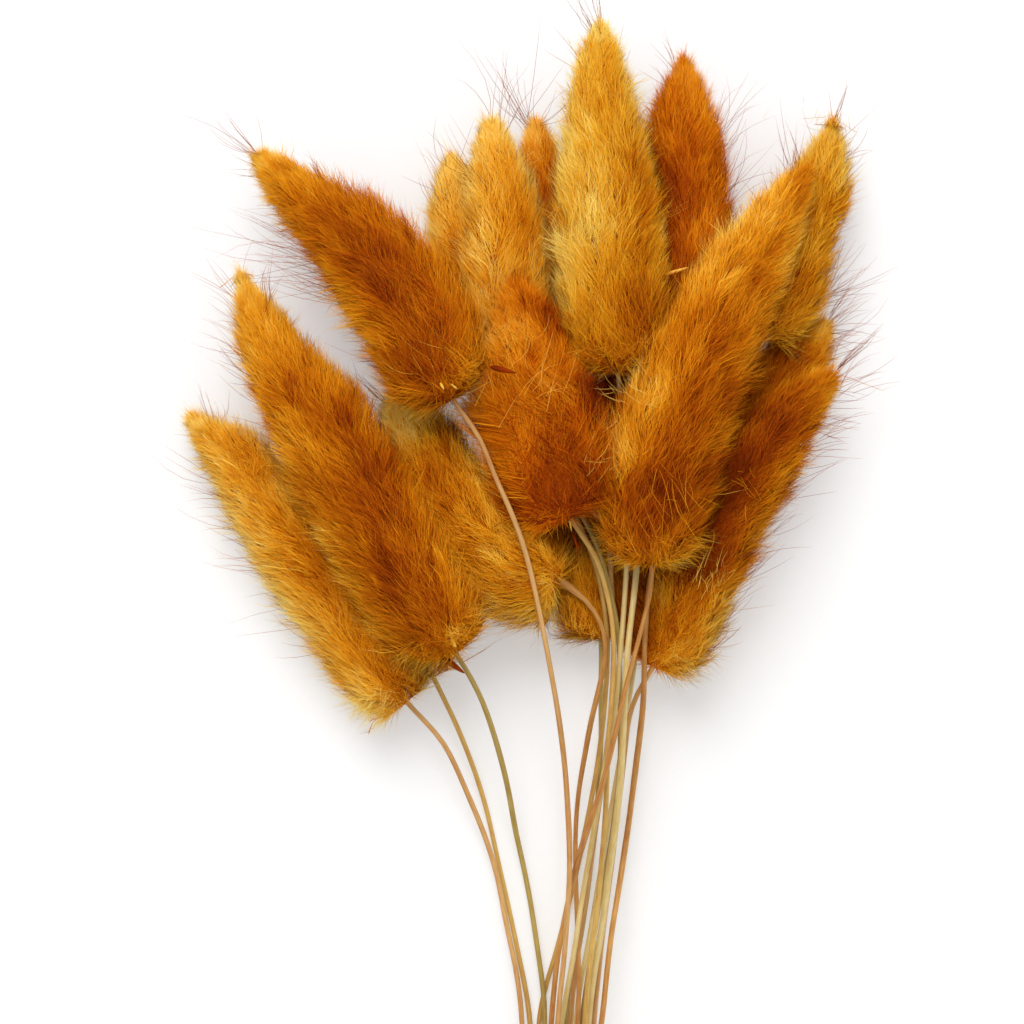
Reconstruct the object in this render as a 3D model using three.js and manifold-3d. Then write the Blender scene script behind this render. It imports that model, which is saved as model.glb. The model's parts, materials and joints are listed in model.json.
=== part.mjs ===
// Dried bunny tail grass: a gathered bunch of furry seed heads on thin bare stems, lying on a table.
// Millimetres, Z up. The stems run along Y with the heads at the +Y end, spread out flat in three
// layers. The origin is the middle of the bunch's footprint, at table height.

import * as THREE from 'three';
import Module from 'manifold-3d';

const wasm = await Module();
wasm.setup();

// The layout is read off a top view drawn on a grid: right, down. One grid step is this many mm.
const GRID_MM = 0.16;
const GRID_MIDDLE = 512;

// Where the stems are gathered closest and where they are cut off, on the same grid.
const WAIST = 1250;
const CUT_END = 1895;
const CUT_STAGGER = 45;
const WAIST_MIDDLE = 555;
const CUT_MIDDLE = 540;
const BUNDLE_ROWS = [7, 6, 3];
const BUNDLE_PITCH = 10.6;

// Seed heads.
const TUFT_RING_MM = 2.9;
const BASE_DOME = 0.16;
const WIDEST_AT = 0.2;
const TAPER_CURVE = 2.3;
const TAPER_ROUND = 0.58;
const VALLEY = 0.8;
const PEAK = 1.1;
const TUFT_VARY = 0.1;
const TUFT_LEAN_MM = 2.9;
const FLAT_LEAN = 0.4;
const TIP_TUFT_MM = 2.6;
const HEAD_GAP = 0.9;
const PART_GAP = 0.3;
const THINNEST_SQUEEZE = 0.12;
const AXIS_SPHERES = 26;
const AXIS_SAMPLES = 400;
const PRESS_HALVINGS = 12;

// Long bristles standing out of the fur.
const AWNS_PER_HEAD = 7;
const AWN_MIN_MM = 8;
const AWN_MAX_MM = 13;
const AWN_ROOT_RADIUS = 0.5;
const AWN_TIP_RADIUS = 0.16;
const AWN_SUNK_MM = 2.5;
const AWN_TRIES = 60;
const AWN_CLEAR = 1.1;
const AWN_FROM = 0.12;
const AWN_TO = 0.97;
const AWN_LEAN_MIN = 0.5;
const AWN_LEAN_MAX = 0.85;
const AWN_PROBES = [0.28, 0.5, 0.75, 1];

// Stems.
const STEM_SIDES = 6;
const STEM_GAP = 0.4;
const SOCKET_DEPTH = 4;
const SOCKET_STEPS = 4;
const SOCKET_END_GAP = 0.4;
const STATION_MM = 2;
const DROP_WINDOW = 4;
const KINK_WINDOW = 2;
const COURSE_SAMPLES = 600;
const STRAIGHTEN_MM = 0.11;
const THIN_AT_HEAD = 0.86;
const THICK_AT_CUT = 1.16;

// Seeds of the draws.
const STEM_SEED = 20260;
const FUR_SEED = 7000;

// Colours.
const FUR_ROUGHNESS = 0.92;
const STRAW_ROUGHNESS = 0.55;
const FUR = {
  burnt: '#b4620f',
  orange: '#c4721a',
  golden: '#c98324',
  amber: '#bd8326',
  olive: '#c7963a',
  brown: '#aa5c14',
};
const STRAW = {
  tan: '#c79a66',
  gold: '#c9a04c',
  olive: '#b39a4a',
  cream: '#d6c58c',
  rust: '#b98146',
};

// Each stalk, from the lowest lying stem to the topmost. head: axis from base to tip as right,
// down, height in mm; width over the fur in mm. stem: right, down from the base to the view edge;
// rest: down, height in mm at which the stem is held up by what is under it.
const STALKS = [
  { name: 'low_centre', fur: 'amber', straw: 'olive', girth: 1.1, width: 15, columns: 12,
    head: [[603, 640, 5.8], [590, 592, 5.2], [575, 545, 5], [560, 480, 5]],
    stem: [[602, 690], [603, 745], [599, 810], [592, 880], [581, 955], [568, 1024]],
    rest: [[760, 0.6]] },
  { name: 'back_left', fur: 'orange', straw: 'gold', girth: 1.1, width: 14, columns: 12,
    head: [[478, 330, 6], [468, 270, 4.6], [458, 210, 4.4], [450, 148, 4.6]],
    stem: [[500, 392], [540, 460], [578, 520], [600, 580], [608, 640], [606, 700], [600, 760],
      [588, 830], [573, 900], [556, 965], [540, 1024]],
    rest: [[450, 10.5], [620, 10.5], [860, 0.6]] },
  { name: 'back_centre', fur: 'burnt', straw: 'tan', girth: 1.1, width: 13.5, columns: 12,
    head: [[565, 345, 6], [556, 290, 4.6], [548, 230, 4.3], [541, 170, 4.3], [536, 112, 4.6]],
    stem: [[580, 400], [595, 460], [606, 520], [612, 580], [614, 640], [612, 700], [606, 765],
      [597, 830], [588, 900], [579, 960], [572, 1024]],
    rest: [[440, 10.5], [620, 10.5], [860, 0.6]] },
  { name: 'right_low', fur: 'orange', straw: 'cream', girth: 1.1, width: 16, columns: 12,
    head: [[722, 472, 4.8], [752, 428, 5], [782, 387, 5.2], [808, 352, 5.4], [831, 316, 5.6]],
    stem: [[698, 512], [670, 548], [651, 578], [644, 605], [640, 645], [632, 700], [623, 760],
      [612, 820], [602, 880], [590, 950], [577, 1024]],
    rest: [[530, 2.4], [640, 2.4], [760, 0.6]] },
  { name: 'left_low', fur: 'golden', straw: 'gold', girth: 1.15, width: 13.5, columns: 12,
    head: [[432, 680, 4.4], [402, 618, 4], [368, 560, 4], [334, 507, 4], [300, 452, 4.2]],
    stem: [[451, 717], [469, 761], [484, 806], [495, 856], [508, 913], [518, 963], [530, 1024]],
    rest: [[850, 0.6]] },
  { name: 'left_front', fur: 'golden', straw: 'tan', girth: 1.2, width: 17.4, columns: 15,
    head: [[404, 706, 6], [367, 643, 5.8], [318, 573, 5.8], [271, 508, 5.8], [227, 454, 5.6],
      [184, 414, 5.4]],
    stem: [[439, 738], [460, 782], [481, 832], [498, 885], [509, 946], [516, 975], [522, 1024]],
    rest: [[900, 0.6]] },
  { name: 'right_front', fur: 'brown', straw: 'tan', girth: 1.15, width: 18, columns: 15,
    head: [[656, 668, 9], [680, 590, 11.5], [710, 522, 12.8], [752, 455, 12.8], [797, 407, 12],
      [842, 370, 10.5]],
    stem: [[641, 687], [631, 712], [627, 745], [625, 772], [620, 820], [613, 880], [606, 930],
      [601, 975], [596, 1024]],
    rest: [[840, 0.8]] },
  { name: 'back_pale', fur: 'golden', straw: 'olive', girth: 1.1, width: 15.6, columns: 15,
    head: [[505, 370, 10], [508, 300, 11], [505, 230, 11], [498, 170, 10.4], [488, 112, 9.4]],
    stem: [[530, 430], [565, 490], [593, 535], [608, 579], [618, 628], [620, 671], [620, 710],
      [621, 749], [620, 785], [614, 835], [604, 890], [592, 960], [583, 1024]],
    rest: [[500, 11.6], [600, 11.6], [860, 0.8]] },
  { name: 'centre_left', fur: 'amber', straw: 'rust', girth: 1.1, width: 18.6, columns: 15,
    head: [[562, 577, 10.5], [524, 571, 10.8], [490, 545, 10.8], [446, 492, 10.4], [414, 440, 9.6],
      [396, 386, 8.2]],
    stem: [[586, 597], [604, 626], [607, 650], [602, 676], [597, 699], [590, 729], [586, 758],
      [581, 786], [578, 812], [576, 859], [577, 899], [579, 957], [579, 1024]],
    rest: [[640, 9.2], [860, 0.8]] },
  { name: 'left_long', fur: 'golden', straw: 'olive', girth: 1.2, width: 19, columns: 15,
    head: [[455, 652, 12], [408, 575, 14.4], [352, 482, 14.6], [302, 400, 13], [262, 330, 11],
      [237, 268, 9]],
    stem: [[478, 690], [492, 729], [507, 785], [516, 840], [523, 869], [530, 905], [536, 940],
      [541, 975], [546, 1024]],
    rest: [[900, 0.8]] },
  { name: 'top_centre', fur: 'olive', straw: 'cream', girth: 1.15, width: 18, columns: 15,
    head: [[617, 375, 18.5], [611, 300, 19.2], [606, 220, 18.4], [602, 130, 16], [600, 18, 13]],
    stem: [[620, 410], [625, 450], [628, 500], [627, 546], [626, 568], [625, 595], [621, 640],
      [616, 700], [608, 755], [600, 795], [594, 835], [583, 899], [576, 951], [563, 1024]],
    rest: [[430, 15.6], [560, 13.8], [610, 13], [860, 1.4]] },
  { name: 'back_right', fur: 'burnt', straw: 'cream', girth: 1.45, width: 16, columns: 15,
    head: [[663, 400, 9], [677, 330, 10], [688, 240, 10], [688, 160, 9.4], [685, 48, 8.4]],
    stem: [[656, 450], [644, 510], [636, 570], [633, 600], [629, 628], [626, 660], [625, 682],
      [622, 749], [618, 812], [608, 887], [605, 922], [598, 957], [592, 998], [589, 1024]],
    rest: [[480, 11], [580, 11], [840, 1.2]] },
  { name: 'centre_front', fur: 'burnt', straw: 'gold', girth: 1.2, width: 22.6, columns: 15,
    head: [[568, 519, 17.5], [552, 450, 19], [537, 385, 19.2], [525, 330, 19.4], [515, 280, 20]],
    stem: [[592, 548], [600, 567], [606, 591], [611, 611], [613, 633], [614, 660], [612, 690],
      [608, 735], [606, 795], [605, 823], [600, 887], [596, 928], [590, 969], [586, 1024]],
    rest: [[600, 13.8], [860, 1.4]] },
  { name: 'far_right', fur: 'olive', straw: 'rust', girth: 1.25, width: 14.8, columns: 15,
    head: [[760, 338, 9.6], [777, 295, 9.4], [797, 243, 8.8], [821, 180, 8], [837, 110, 7.4]],
    stem: [[733, 390], [706, 440], [684, 490], [661, 540], [649, 580], [647, 611], [645, 633], [645, 680],
      [644, 709], [641, 737], [635, 795], [629, 840], [617, 910], [611, 946], [603, 1024]],
    rest: [[440, 11.5], [500, 14], [580, 12.4], [840, 1.2]] },
  { name: 'right_long', fur: 'orange', straw: 'rust', girth: 1.2, width: 19.4, columns: 15,
    head: [[650, 564, 17.2], [652, 500, 19], [672, 420, 20], [711, 330, 19.6], [757, 250, 18],
      [806, 170, 16]],
    stem: [[651, 591], [643, 615], [638, 640], [632, 660], [627, 676], [619, 709], [614, 735],
      [607, 760], [602, 783], [589, 823], [577, 863], [570, 900], [560, 951], [552, 1024]],
    rest: [[640, 14.8], [880, 2]] },
  { name: 'upper_left', fur: 'brown', straw: 'tan', girth: 1.15, width: 19, columns: 15,
    head: [[452, 402, 19], [421, 327, 18.4], [372, 261, 16.4], [310, 204, 13.6], [249, 149, 10.6]],
    stem: [[480, 436], [495, 478], [508, 504], [523, 543], [534, 586], [545, 640], [555, 694],
      [563, 744], [567, 790], [570, 860], [568, 905], [565, 957], [558, 1024]],
    rest: [[500, 19], [600, 15], [900, 2]] },
];

// Seeded draws, so that the bunch is the same every time.
function drawer(seed) {
  let state = seed >>> 0;
  return (low = 0, high = 1) => {
    state = (state + 0x6d2b79f5) >>> 0;
    let mixed = Math.imul(state ^ (state >>> 15), state | 1);
    mixed ^= mixed + Math.imul(mixed ^ (mixed >>> 7), mixed | 61);
    return low + (high - low) * (((mixed ^ (mixed >>> 14)) >>> 0) / 4294967296);
  };
}

const across = (right) => (right - GRID_MIDDLE) * GRID_MM;
const along = (down) => (GRID_MIDDLE - down) * GRID_MM;
const smooth = (t) => t * t * (3 - 2 * t);
const clamp01 = (t) => Math.min(Math.max(t, 0), 1);

function solidFrom(points, faces) {
  const mesh = new wasm.Mesh({
    numProp: 3,
    vertProperties: new Float32Array(points.flatMap((p) => [p.x, p.y, p.z])),
    triVerts: new Uint32Array(faces.flat()),
  });
  mesh.merge();
  return new wasm.Manifold(mesh);
}

function largestBody(solid) {
  const bodies = solid.decompose();
  return bodies.reduce((best, body) => (body.volume() > best.volume() ? body : best));
}

// Cross directions of a nearly level curve: one upward, one sideways.
function crossFrame(points, index) {
  const before = points[Math.max(index - 1, 0)];
  const after = points[Math.min(index + 1, points.length - 1)];
  const forward = after.clone().sub(before).normalize();
  const up = new THREE.Vector3(0, 0, 1).addScaledVector(forward, -forward.z).normalize();
  const side = new THREE.Vector3().crossVectors(forward, up);
  return { forward, up, side };
}

// A closed tube with flat ends through points, with a radius at each.
function tube(points, radii, sides) {
  const ring = [];
  points.forEach((point, index) => {
    const { up, side } = crossFrame(points, index);
    for (let s = 0; s < sides; s += 1) {
      const angle = (2 * Math.PI * (s + 0.5)) / sides;
      ring.push(point.clone()
        .addScaledVector(up, Math.cos(angle) * radii[index])
        .addScaledVector(side, Math.sin(angle) * radii[index]));
    }
  });
  const faces = [];
  const last = (points.length - 1) * sides;
  for (let s = 0; s < sides; s += 1) {
    const next = (s + 1) % sides;
    for (let row = 0; row < last; row += sides) {
      faces.push([row + s, row + sides + s, row + sides + next]);
      faces.push([row + s, row + sides + next, row + next]);
    }
    if (s > 0 && s < sides - 1) {
      faces.push([0, s, s + 1]);
      faces.push([last, last + s + 1, last + s]);
    }
  }
  const solid = solidFrom(ring, faces);
  return solid.volume() > 0 ? solid : solidFrom(ring, faces.map(([a, b, c]) => [a, c, b]));
}

// Fur profile from base to tip as a share of the widest radius.
function profile(share) {
  if (share <= 0 || share >= 1) return 0;
  const dome = share < BASE_DOME ? Math.sqrt(1 - (1 - share / BASE_DOME) ** 2) : 1;
  const taper = clamp01((share - WIDEST_AT) / (1 - WIDEST_AT)) ** TAPER_CURVE;
  return dome * (1 - taper) ** TAPER_ROUND;
}

// Axis of a head, evenly spaced from its base to its tip, and how the stem runs into it.
function headAxis(stalk) {
  const base = stalk.head[0];
  const first = stalk.stem[0];
  const lead = new THREE.Vector3(across(first[0]), along(first[1]), base[2]);
  const marks = stalk.head.map(([right, down, height]) =>
    new THREE.Vector3(across(right), along(down), height));
  const curve = new THREE.CatmullRomCurve3([lead, ...marks], false, 'centripetal');
  const fine = curve.getSpacedPoints(AXIS_SAMPLES);
  let start = 0;
  fine.forEach((point, index) => {
    if (point.distanceTo(marks[0]) < fine[start].distanceTo(marks[0])) start = index;
  });
  const run = new THREE.CatmullRomCurve3(fine.slice(start));
  return { curve: run, length: run.getLength() };
}

// Where each stem lies across the gathered bundle, which is packed in rows: the lowest stems fill
// the bottom row, and every row keeps the order in which its stems leave the view.
function bundlePlaces() {
  const edgeOf = (stalk) => stalk.stem[stalk.stem.length - 1][0];
  const places = new Map();
  let taken = 0;
  BUNDLE_ROWS.forEach((count) => {
    const row = STALKS.slice(taken, taken + count).sort((a, b) => edgeOf(a) - edgeOf(b));
    row.forEach((stalk, n) => places.set(stalk, (n - (count - 1) / 2) * BUNDLE_PITCH));
    taken += count;
  });
  return places;
}

// The stem's course seen from above: across as a function of along, past the view edge to the cut.
function stemCourse(stalk, place, draw) {
  const base = stalk.head[0];
  const cut = CUT_END + draw(-CUT_STAGGER, CUT_STAGGER);
  const tail = [
    [WAIST_MIDDLE + place, WAIST],
    [(WAIST_MIDDLE + CUT_MIDDLE) / 2 + place, (WAIST + cut) / 2],
    [CUT_MIDDLE + place, cut],
  ];
  const marks = [base, ...stalk.stem, ...tail].map(([right, down]) =>
    new THREE.Vector3(across(right), along(down), 0));
  const curve = new THREE.CatmullRomCurve3(marks, false, 'centripetal');
  return curve.getSpacedPoints(COURSE_SAMPLES);
}

function acrossAt(course, y) {
  let low = 0;
  let high = course.length - 1;
  while (high - low > 1) {
    const middle = (low + high) >> 1;
    if (course[middle].y > y) low = middle;
    else high = middle;
  }
  const from = course[low];
  const to = course[high];
  const share = clamp01((y - from.y) / (to.y - from.y || 1));
  const slope = (to.x - from.x) / (to.y - from.y || 1);
  return { x: from.x + (to.x - from.x) * share, slope };
}

// Height at which the heads and the table hold a stem up.
function restHeight(stalk, y) {
  const knots = [[stalk.head[0][1], stalk.head[0][2]], ...stalk.rest];
  const spots = knots.map(([down, height]) => ({ y: along(down), z: height }));
  if (y >= spots[0].y) return spots[0].z;
  for (let k = 1; k < spots.length; k += 1) {
    if (y >= spots[k].y) {
      const share = (spots[k - 1].y - y) / (spots[k - 1].y - spots[k].y);
      return spots[k - 1].z + (spots[k].z - spots[k - 1].z) * smooth(share);
    }
  }
  return 0;
}

const windowed = (values, index, reach, pick) =>
  pick(values.slice(Math.max(index - reach, 0), index + reach + 1));
const highest = (values) => Math.max(...values);
const mean = (values) => values.reduce((sum, value) => sum + value, 0) / values.length;

// Lays one stem over those already laid, so that it clears each of them and the table.
function layStem(stalk, place, laid, draw) {
  const course = stemCourse(stalk, place, draw);
  const top = course[0].y;
  const bottom = course[course.length - 1].y;
  const count = Math.round((top - bottom) / STATION_MM);
  const stations = [];
  for (let n = 0; n <= count; n += 1) {
    const y = top + ((bottom - top) * n) / count;
    const share = n / count;
    const radius = (stalk.girth / 2) * (THIN_AT_HEAD + (THICK_AT_CUT - THIN_AT_HEAD) * share);
    stations.push({ y, radius, ...acrossAt(course, y) });
  }
  const drop = stations.map((here) => {
    let z = here.radius;
    laid.forEach((other) => {
      if (here.y > other.top || here.y < other.bottom) return;
      const there = other.at(here.y);
      const tilt = Math.max(Math.abs(here.slope), Math.abs(there.slope));
      const apart = Math.abs(here.x - there.x) / Math.sqrt(1 + tilt * tilt);
      const need = here.radius + there.radius + STEM_GAP;
      if (apart < need) z = Math.max(z, there.z + Math.sqrt(need * need - apart * apart));
    });
    return z;
  });
  const wide = drop.map((_, n) => windowed(drop, n, DROP_WINDOW, highest));
  const eased = wide.map((_, n) => windowed(wide, n, DROP_WINDOW, mean));
  const held = eased.map((z, n) => Math.max(z, restHeight(stalk, stations[n].y)));
  const path = stations.map((here, n) => {
    const z = n < KINK_WINDOW ? held[n] : windowed(held, n, KINK_WINDOW, mean);
    return { ...here, z: Math.max(z, here.radius) };
  });
  const at = (y) => {
    const place = clamp01((top - y) / (top - bottom)) * count;
    const n = Math.min(Math.floor(place), count - 1);
    const mix = (key) => path[n][key] + (path[n + 1][key] - path[n][key]) * (place - n);
    return { x: mix('x'), z: mix('z'), radius: mix('radius'), slope: path[n].slope };
  };
  return { top, bottom, path, at };
}

// Keeps only the points of a path that its shape needs.
function straighten(path, tolerance) {
  if (path.length < 3) return path;
  const first = path[0].point;
  const line = new THREE.Line3(first, path[path.length - 1].point);
  let far = 0;
  let farAt = 0;
  for (let n = 1; n < path.length - 1; n += 1) {
    const near = line.closestPointToPoint(path[n].point, true, new THREE.Vector3());
    const off = near.distanceTo(path[n].point);
    if (off > far) {
      far = off;
      farAt = n;
    }
  }
  if (far <= tolerance) return [path[0], path[path.length - 1]];
  const left = straighten(path.slice(0, farAt + 1), tolerance);
  const right = straighten(path.slice(farAt), tolerance);
  return [...left.slice(0, -1), ...right];
}

const draw = drawer(STEM_SEED);
const laid = [];
const places = bundlePlaces();
const stalks = STALKS.map((stalk) => {
  const axis = headAxis(stalk);
  const stem = layStem(stalk, places.get(stalk), laid, draw);
  laid.push(stem);
  const widest = stalk.width / 2;
  const spheres = [];
  for (let n = 0; n <= AXIS_SPHERES; n += 1) {
    const share = n / AXIS_SPHERES;
    spheres.push({ centre: axis.curve.getPointAt(share), radius: widest * profile(share) });
  }
  return { ...stalk, axis, stemPath: stem, widest, spheres };
});

// Distance from a head's fur surface, negative inside.
function furDistance(stalk, point) {
  let least = Infinity;
  stalk.spheres.forEach(({ centre, radius }) => {
    least = Math.min(least, centre.distanceTo(point) - radius);
  });
  return least;
}

// How much more a point belongs to this head than to any other that presses on it.
function slack(stalk, point) {
  const own = furDistance(stalk, point);
  let least = Infinity;
  stalks.forEach((other) => {
    if (other !== stalk) least = Math.min(least, furDistance(other, point) - own);
  });
  return least;
}

// Pushes a fur point back towards the axis until it leaves the neighbours their room. On the
// table it is laid flat and leans less.
function pressed(stalk, centre, reach, lean) {
  const at = (share) => {
    const point = centre.clone().addScaledVector(reach, share);
    const flat = point.z + lean.z * share < 0;
    point.addScaledVector(lean, flat ? share * FLAT_LEAN : share);
    point.z = flat ? 0 : point.z;
    return point;
  };
  if (slack(stalk, at(1)) >= HEAD_GAP) return at(1);
  let low = THINNEST_SQUEEZE;
  let high = 1;
  for (let n = 0; n < PRESS_HALVINGS; n += 1) {
    const middle = (low + high) / 2;
    if (slack(stalk, at(middle)) >= HEAD_GAP) low = middle;
    else high = middle;
  }
  return at(low);
}

// The fur as one closed skin of leaning pointed tufts: in a lattice of staggered rings, every
// third point is drawn outward and forward and its six neighbours are left low.
function furSkin(stalk, random) {
  const { columns, widest } = stalk;
  const { curve, length } = stalk.axis;
  const rings = Math.round(length / TUFT_RING_MM);
  const centres = [];
  for (let ring = 0; ring < rings; ring += 1) centres.push(curve.getPointAt((ring + 0.5) / rings));
  const base = curve.getPointAt(0);
  const tip = curve.getPointAt(1);
  const spine = [base, ...centres, tip];
  const points = [];
  centres.forEach((centre, ring) => {
    const { forward, up, side } = crossFrame(spine, ring + 1);
    const girth = widest * profile((ring + 0.5) / rings);
    for (let column = 0; column < columns; column += 1) {
      const angle = (2 * Math.PI * (column + 0.5 * (ring % 2))) / columns;
      const kind = (column - Math.floor(ring / 2) - ring + 3 * rings) % 3;
      const tall = kind === 0;
      const share = (tall ? PEAK : VALLEY) * random(1 - TUFT_VARY, 1 + TUFT_VARY);
      const reach = new THREE.Vector3()
        .addScaledVector(up, Math.cos(angle) * girth * share)
        .addScaledVector(side, Math.sin(angle) * girth * share);
      const lean = forward.clone().multiplyScalar(tall ? TUFT_LEAN_MM : 0);
      points.push(pressed(stalk, centre, reach, lean));
    }
  });
  const faces = [];
  const at = (ring, column) => ring * columns + ((column + columns) % columns);
  for (let ring = 0; ring < rings - 1; ring += 1) {
    const odd = ring % 2;
    for (let column = 0; column < columns; column += 1) {
      const ahead = odd ? column + 1 : column;
      faces.push([at(ring, column), at(ring + 1, ahead), at(ring + 1, ahead - 1)]);
      faces.push([at(ring, column), at(ring, column + 1), at(ring + 1, ahead)]);
    }
  }
  const { forward } = crossFrame(spine, spine.length - 1);
  const basePole = points.push(base.clone()) - 1;
  const tipReach = forward.multiplyScalar(TIP_TUFT_MM);
  const tipPole = points.push(pressed(stalk, tip, tipReach, new THREE.Vector3())) - 1;
  for (let column = 0; column < columns; column += 1) {
    faces.push([basePole, at(0, column + 1), at(0, column)]);
    faces.push([tipPole, at(rings - 1, column), at(rings - 1, column + 1)]);
  }
  const solid = solidFrom(points, faces);
  return solid.volume() > 0 ? solid : solidFrom(points, faces.map(([a, b, c]) => [a, c, b]));
}

const stemPoint = (here) => new THREE.Vector3(here.x, here.y, here.z);

// The stem's line with its end pushed into the head, and a radius at each point.
function stemLine(stalk) {
  const inner = [];
  for (let step = SOCKET_STEPS; step > 0; step -= 1) {
    const depth = (SOCKET_DEPTH * step) / SOCKET_STEPS;
    const point = stalk.axis.curve.getPointAt(depth / stalk.axis.length);
    inner.push({ point, radius: stalk.stemPath.path[0].radius });
  }
  const outer = stalk.stemPath.path.map((here) => ({ point: stemPoint(here), radius: here.radius }));
  return straighten([...inner, ...outer], STRAIGHTEN_MM);
}

stalks.forEach((stalk) => {
  stalk.line = stemLine(stalk);
});

// The room that a stem and its gap take up, with its end in the head a little longer.
function stemRoom(stalk, gap) {
  const points = stalk.line.map((entry) => entry.point.clone());
  const inward = points[0].clone().sub(points[1]).normalize();
  points[0].addScaledVector(inward, SOCKET_END_GAP);
  return tube(points, stalk.line.map((entry) => entry.radius + gap), STEM_SIDES);
}

function clearOfOthers(stalk, point) {
  if (point.z < AWN_ROOT_RADIUS) return false;
  const headsClear = stalks.every((other) => other === stalk || furDistance(other, point) > AWN_CLEAR);
  const stemsClear = stalks.every((other) => {
    if (point.y > other.stemPath.top || point.y < other.stemPath.bottom) return true;
    const there = other.stemPath.at(point.y);
    return Math.hypot(point.x - there.x, point.z - there.z) > there.radius + AWN_CLEAR;
  });
  return headsClear && stemsClear;
}

// Bristles at random places all round a head, each kept only where the air around it is free.
function awns(stalk, random) {
  const { curve } = stalk.axis;
  const found = [];
  for (let tried = 0; tried < AWN_TRIES && found.length < AWNS_PER_HEAD; tried += 1) {
    const share = random(AWN_FROM, AWN_TO);
    const angle = random(0, 2 * Math.PI);
    const long = random(AWN_MIN_MM, AWN_MAX_MM);
    const lean = random(AWN_LEAN_MIN, AWN_LEAN_MAX);
    const centre = curve.getPointAt(share);
    const ahead = curve.getPointAt(Math.min(share + 0.02, 1));
    const { forward, up, side } = crossFrame([centre, ahead], 0);
    const out = up.multiplyScalar(Math.cos(angle)).addScaledVector(side, Math.sin(angle));
    const aim = out.clone().multiplyScalar(1 - lean).addScaledVector(forward, lean).normalize();
    const depth = Math.max(stalk.widest * profile(share) * VALLEY - AWN_SUNK_MM, 0);
    const root = centre.clone().addScaledVector(out, depth);
    const end = root.clone().addScaledVector(aim, long);
    const probes = AWN_PROBES.map((part) => root.clone().lerp(end, part));
    if (probes.every((probe) => clearOfOthers(stalk, probe))) {
      found.push(tube([root, end], [AWN_ROOT_RADIUS, AWN_TIP_RADIUS], 3));
    }
  }
  return found;
}

function meshOf(name, solid, colour, roughness) {
  const { vertProperties, triVerts, numProp } = solid.getMesh();
  const positions = new Float32Array((vertProperties.length / numProp) * 3);
  for (let n = 0; n < positions.length / 3; n += 1) {
    for (let c = 0; c < 3; c += 1) positions[n * 3 + c] = vertProperties[n * numProp + c];
  }
  const geometry = new THREE.BufferGeometry();
  geometry.setAttribute('position', new THREE.BufferAttribute(positions, 3));
  geometry.setIndex([...triVerts]);
  geometry.computeVertexNormals();
  const material = new THREE.MeshStandardMaterial({ color: colour, roughness, metalness: 0 });
  const mesh = new THREE.Mesh(geometry, material);
  mesh.name = name;
  return mesh;
}

// Cuts a head back where its skin still touches the one above it.
function partedFrom(lower, upper) {
  if (lower.minGap(upper, PART_GAP) >= PART_GAP) return lower;
  const steps = [-PART_GAP, -PART_GAP / 2, PART_GAP / 2, PART_GAP];
  const moves = steps.flatMap((step) => [[step, 0, 0], [0, step, 0], [0, 0, step]]);
  const cut = lower.subtract(upper);
  return moves.reduce((solid, move) => solid.subtract(upper.translate(move)), cut);
}

const group = new THREE.Group();
group.name = 'bunny_tail_bunch';
const rooms = stalks.map((stalk) => stemRoom(stalk, STEM_GAP));
const furs = stalks.map((stalk, index) => {
  const random = drawer(FUR_SEED + index);
  return wasm.Manifold.union([furSkin(stalk, random), ...awns(stalk, random)]);
});
stalks.forEach((stalk, index) => {
  const parted = furs.slice(index + 1).reduce(partedFrom, furs[index]);
  const cleared = rooms.reduce((solid, room) => solid.subtract(room), parted);
  group.add(meshOf(`head_${stalk.name}`, largestBody(cleared), FUR[stalk.fur], FUR_ROUGHNESS));
  const stem = tube(stalk.line.map((entry) => entry.point), stalk.line.map((entry) => entry.radius),
    STEM_SIDES);
  group.add(meshOf(`stem_${stalk.name}`, stem, STRAW[stalk.straw], STRAW_ROUGHNESS));
});

const bounds = new THREE.Box3().setFromObject(group);
const middle = bounds.getCenter(new THREE.Vector3());
group.children.forEach((mesh) => mesh.geometry.translate(-middle.x, -middle.y, -bounds.min.z));

export default group;
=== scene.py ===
"""Dried bunny tail grass: the looks of the bunch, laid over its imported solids."""

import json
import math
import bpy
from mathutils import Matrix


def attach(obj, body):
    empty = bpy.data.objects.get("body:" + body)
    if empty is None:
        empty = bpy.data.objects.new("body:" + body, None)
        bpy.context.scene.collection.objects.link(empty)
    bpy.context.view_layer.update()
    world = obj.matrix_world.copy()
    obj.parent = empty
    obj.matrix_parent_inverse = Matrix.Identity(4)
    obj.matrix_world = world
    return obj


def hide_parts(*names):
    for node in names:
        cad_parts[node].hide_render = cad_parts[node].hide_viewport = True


bl_info = {
    "name": "Dried Bunny Tail Grass",
    "version": (1, 0, 0),
    "blender": (4, 5, 0),
    "location": "3D View > Sidebar > Bunny Tails",
    "description": "Furry seed heads, straw stems and husks of a dried bunny tail bunch",
    "category": "Object",
}

import bmesh
import bpy
import numpy as np
from mathutils import Vector
from mathutils.bvhtree import BVHTree

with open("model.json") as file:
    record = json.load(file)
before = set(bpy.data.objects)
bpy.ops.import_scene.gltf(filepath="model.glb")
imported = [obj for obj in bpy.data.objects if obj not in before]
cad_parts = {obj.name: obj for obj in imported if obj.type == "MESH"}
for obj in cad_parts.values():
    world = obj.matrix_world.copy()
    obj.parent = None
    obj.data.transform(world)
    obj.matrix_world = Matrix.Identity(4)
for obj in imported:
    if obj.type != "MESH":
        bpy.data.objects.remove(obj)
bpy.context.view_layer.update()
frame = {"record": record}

MM = 0.001

# The layout grid of the top view: right and down in steps of GRID metres, the place of its middle, the
# width that the camera sees, and the camera's sensor in mm.
GRID = 0.16 * MM
GRID_MIDDLE = 512
VIEW_MIDDLE = (-0.0018691, 0.0708645)
VIEW_WIDTH = 2 * GRID_MIDDLE * GRID
SENSOR = 36

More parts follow.
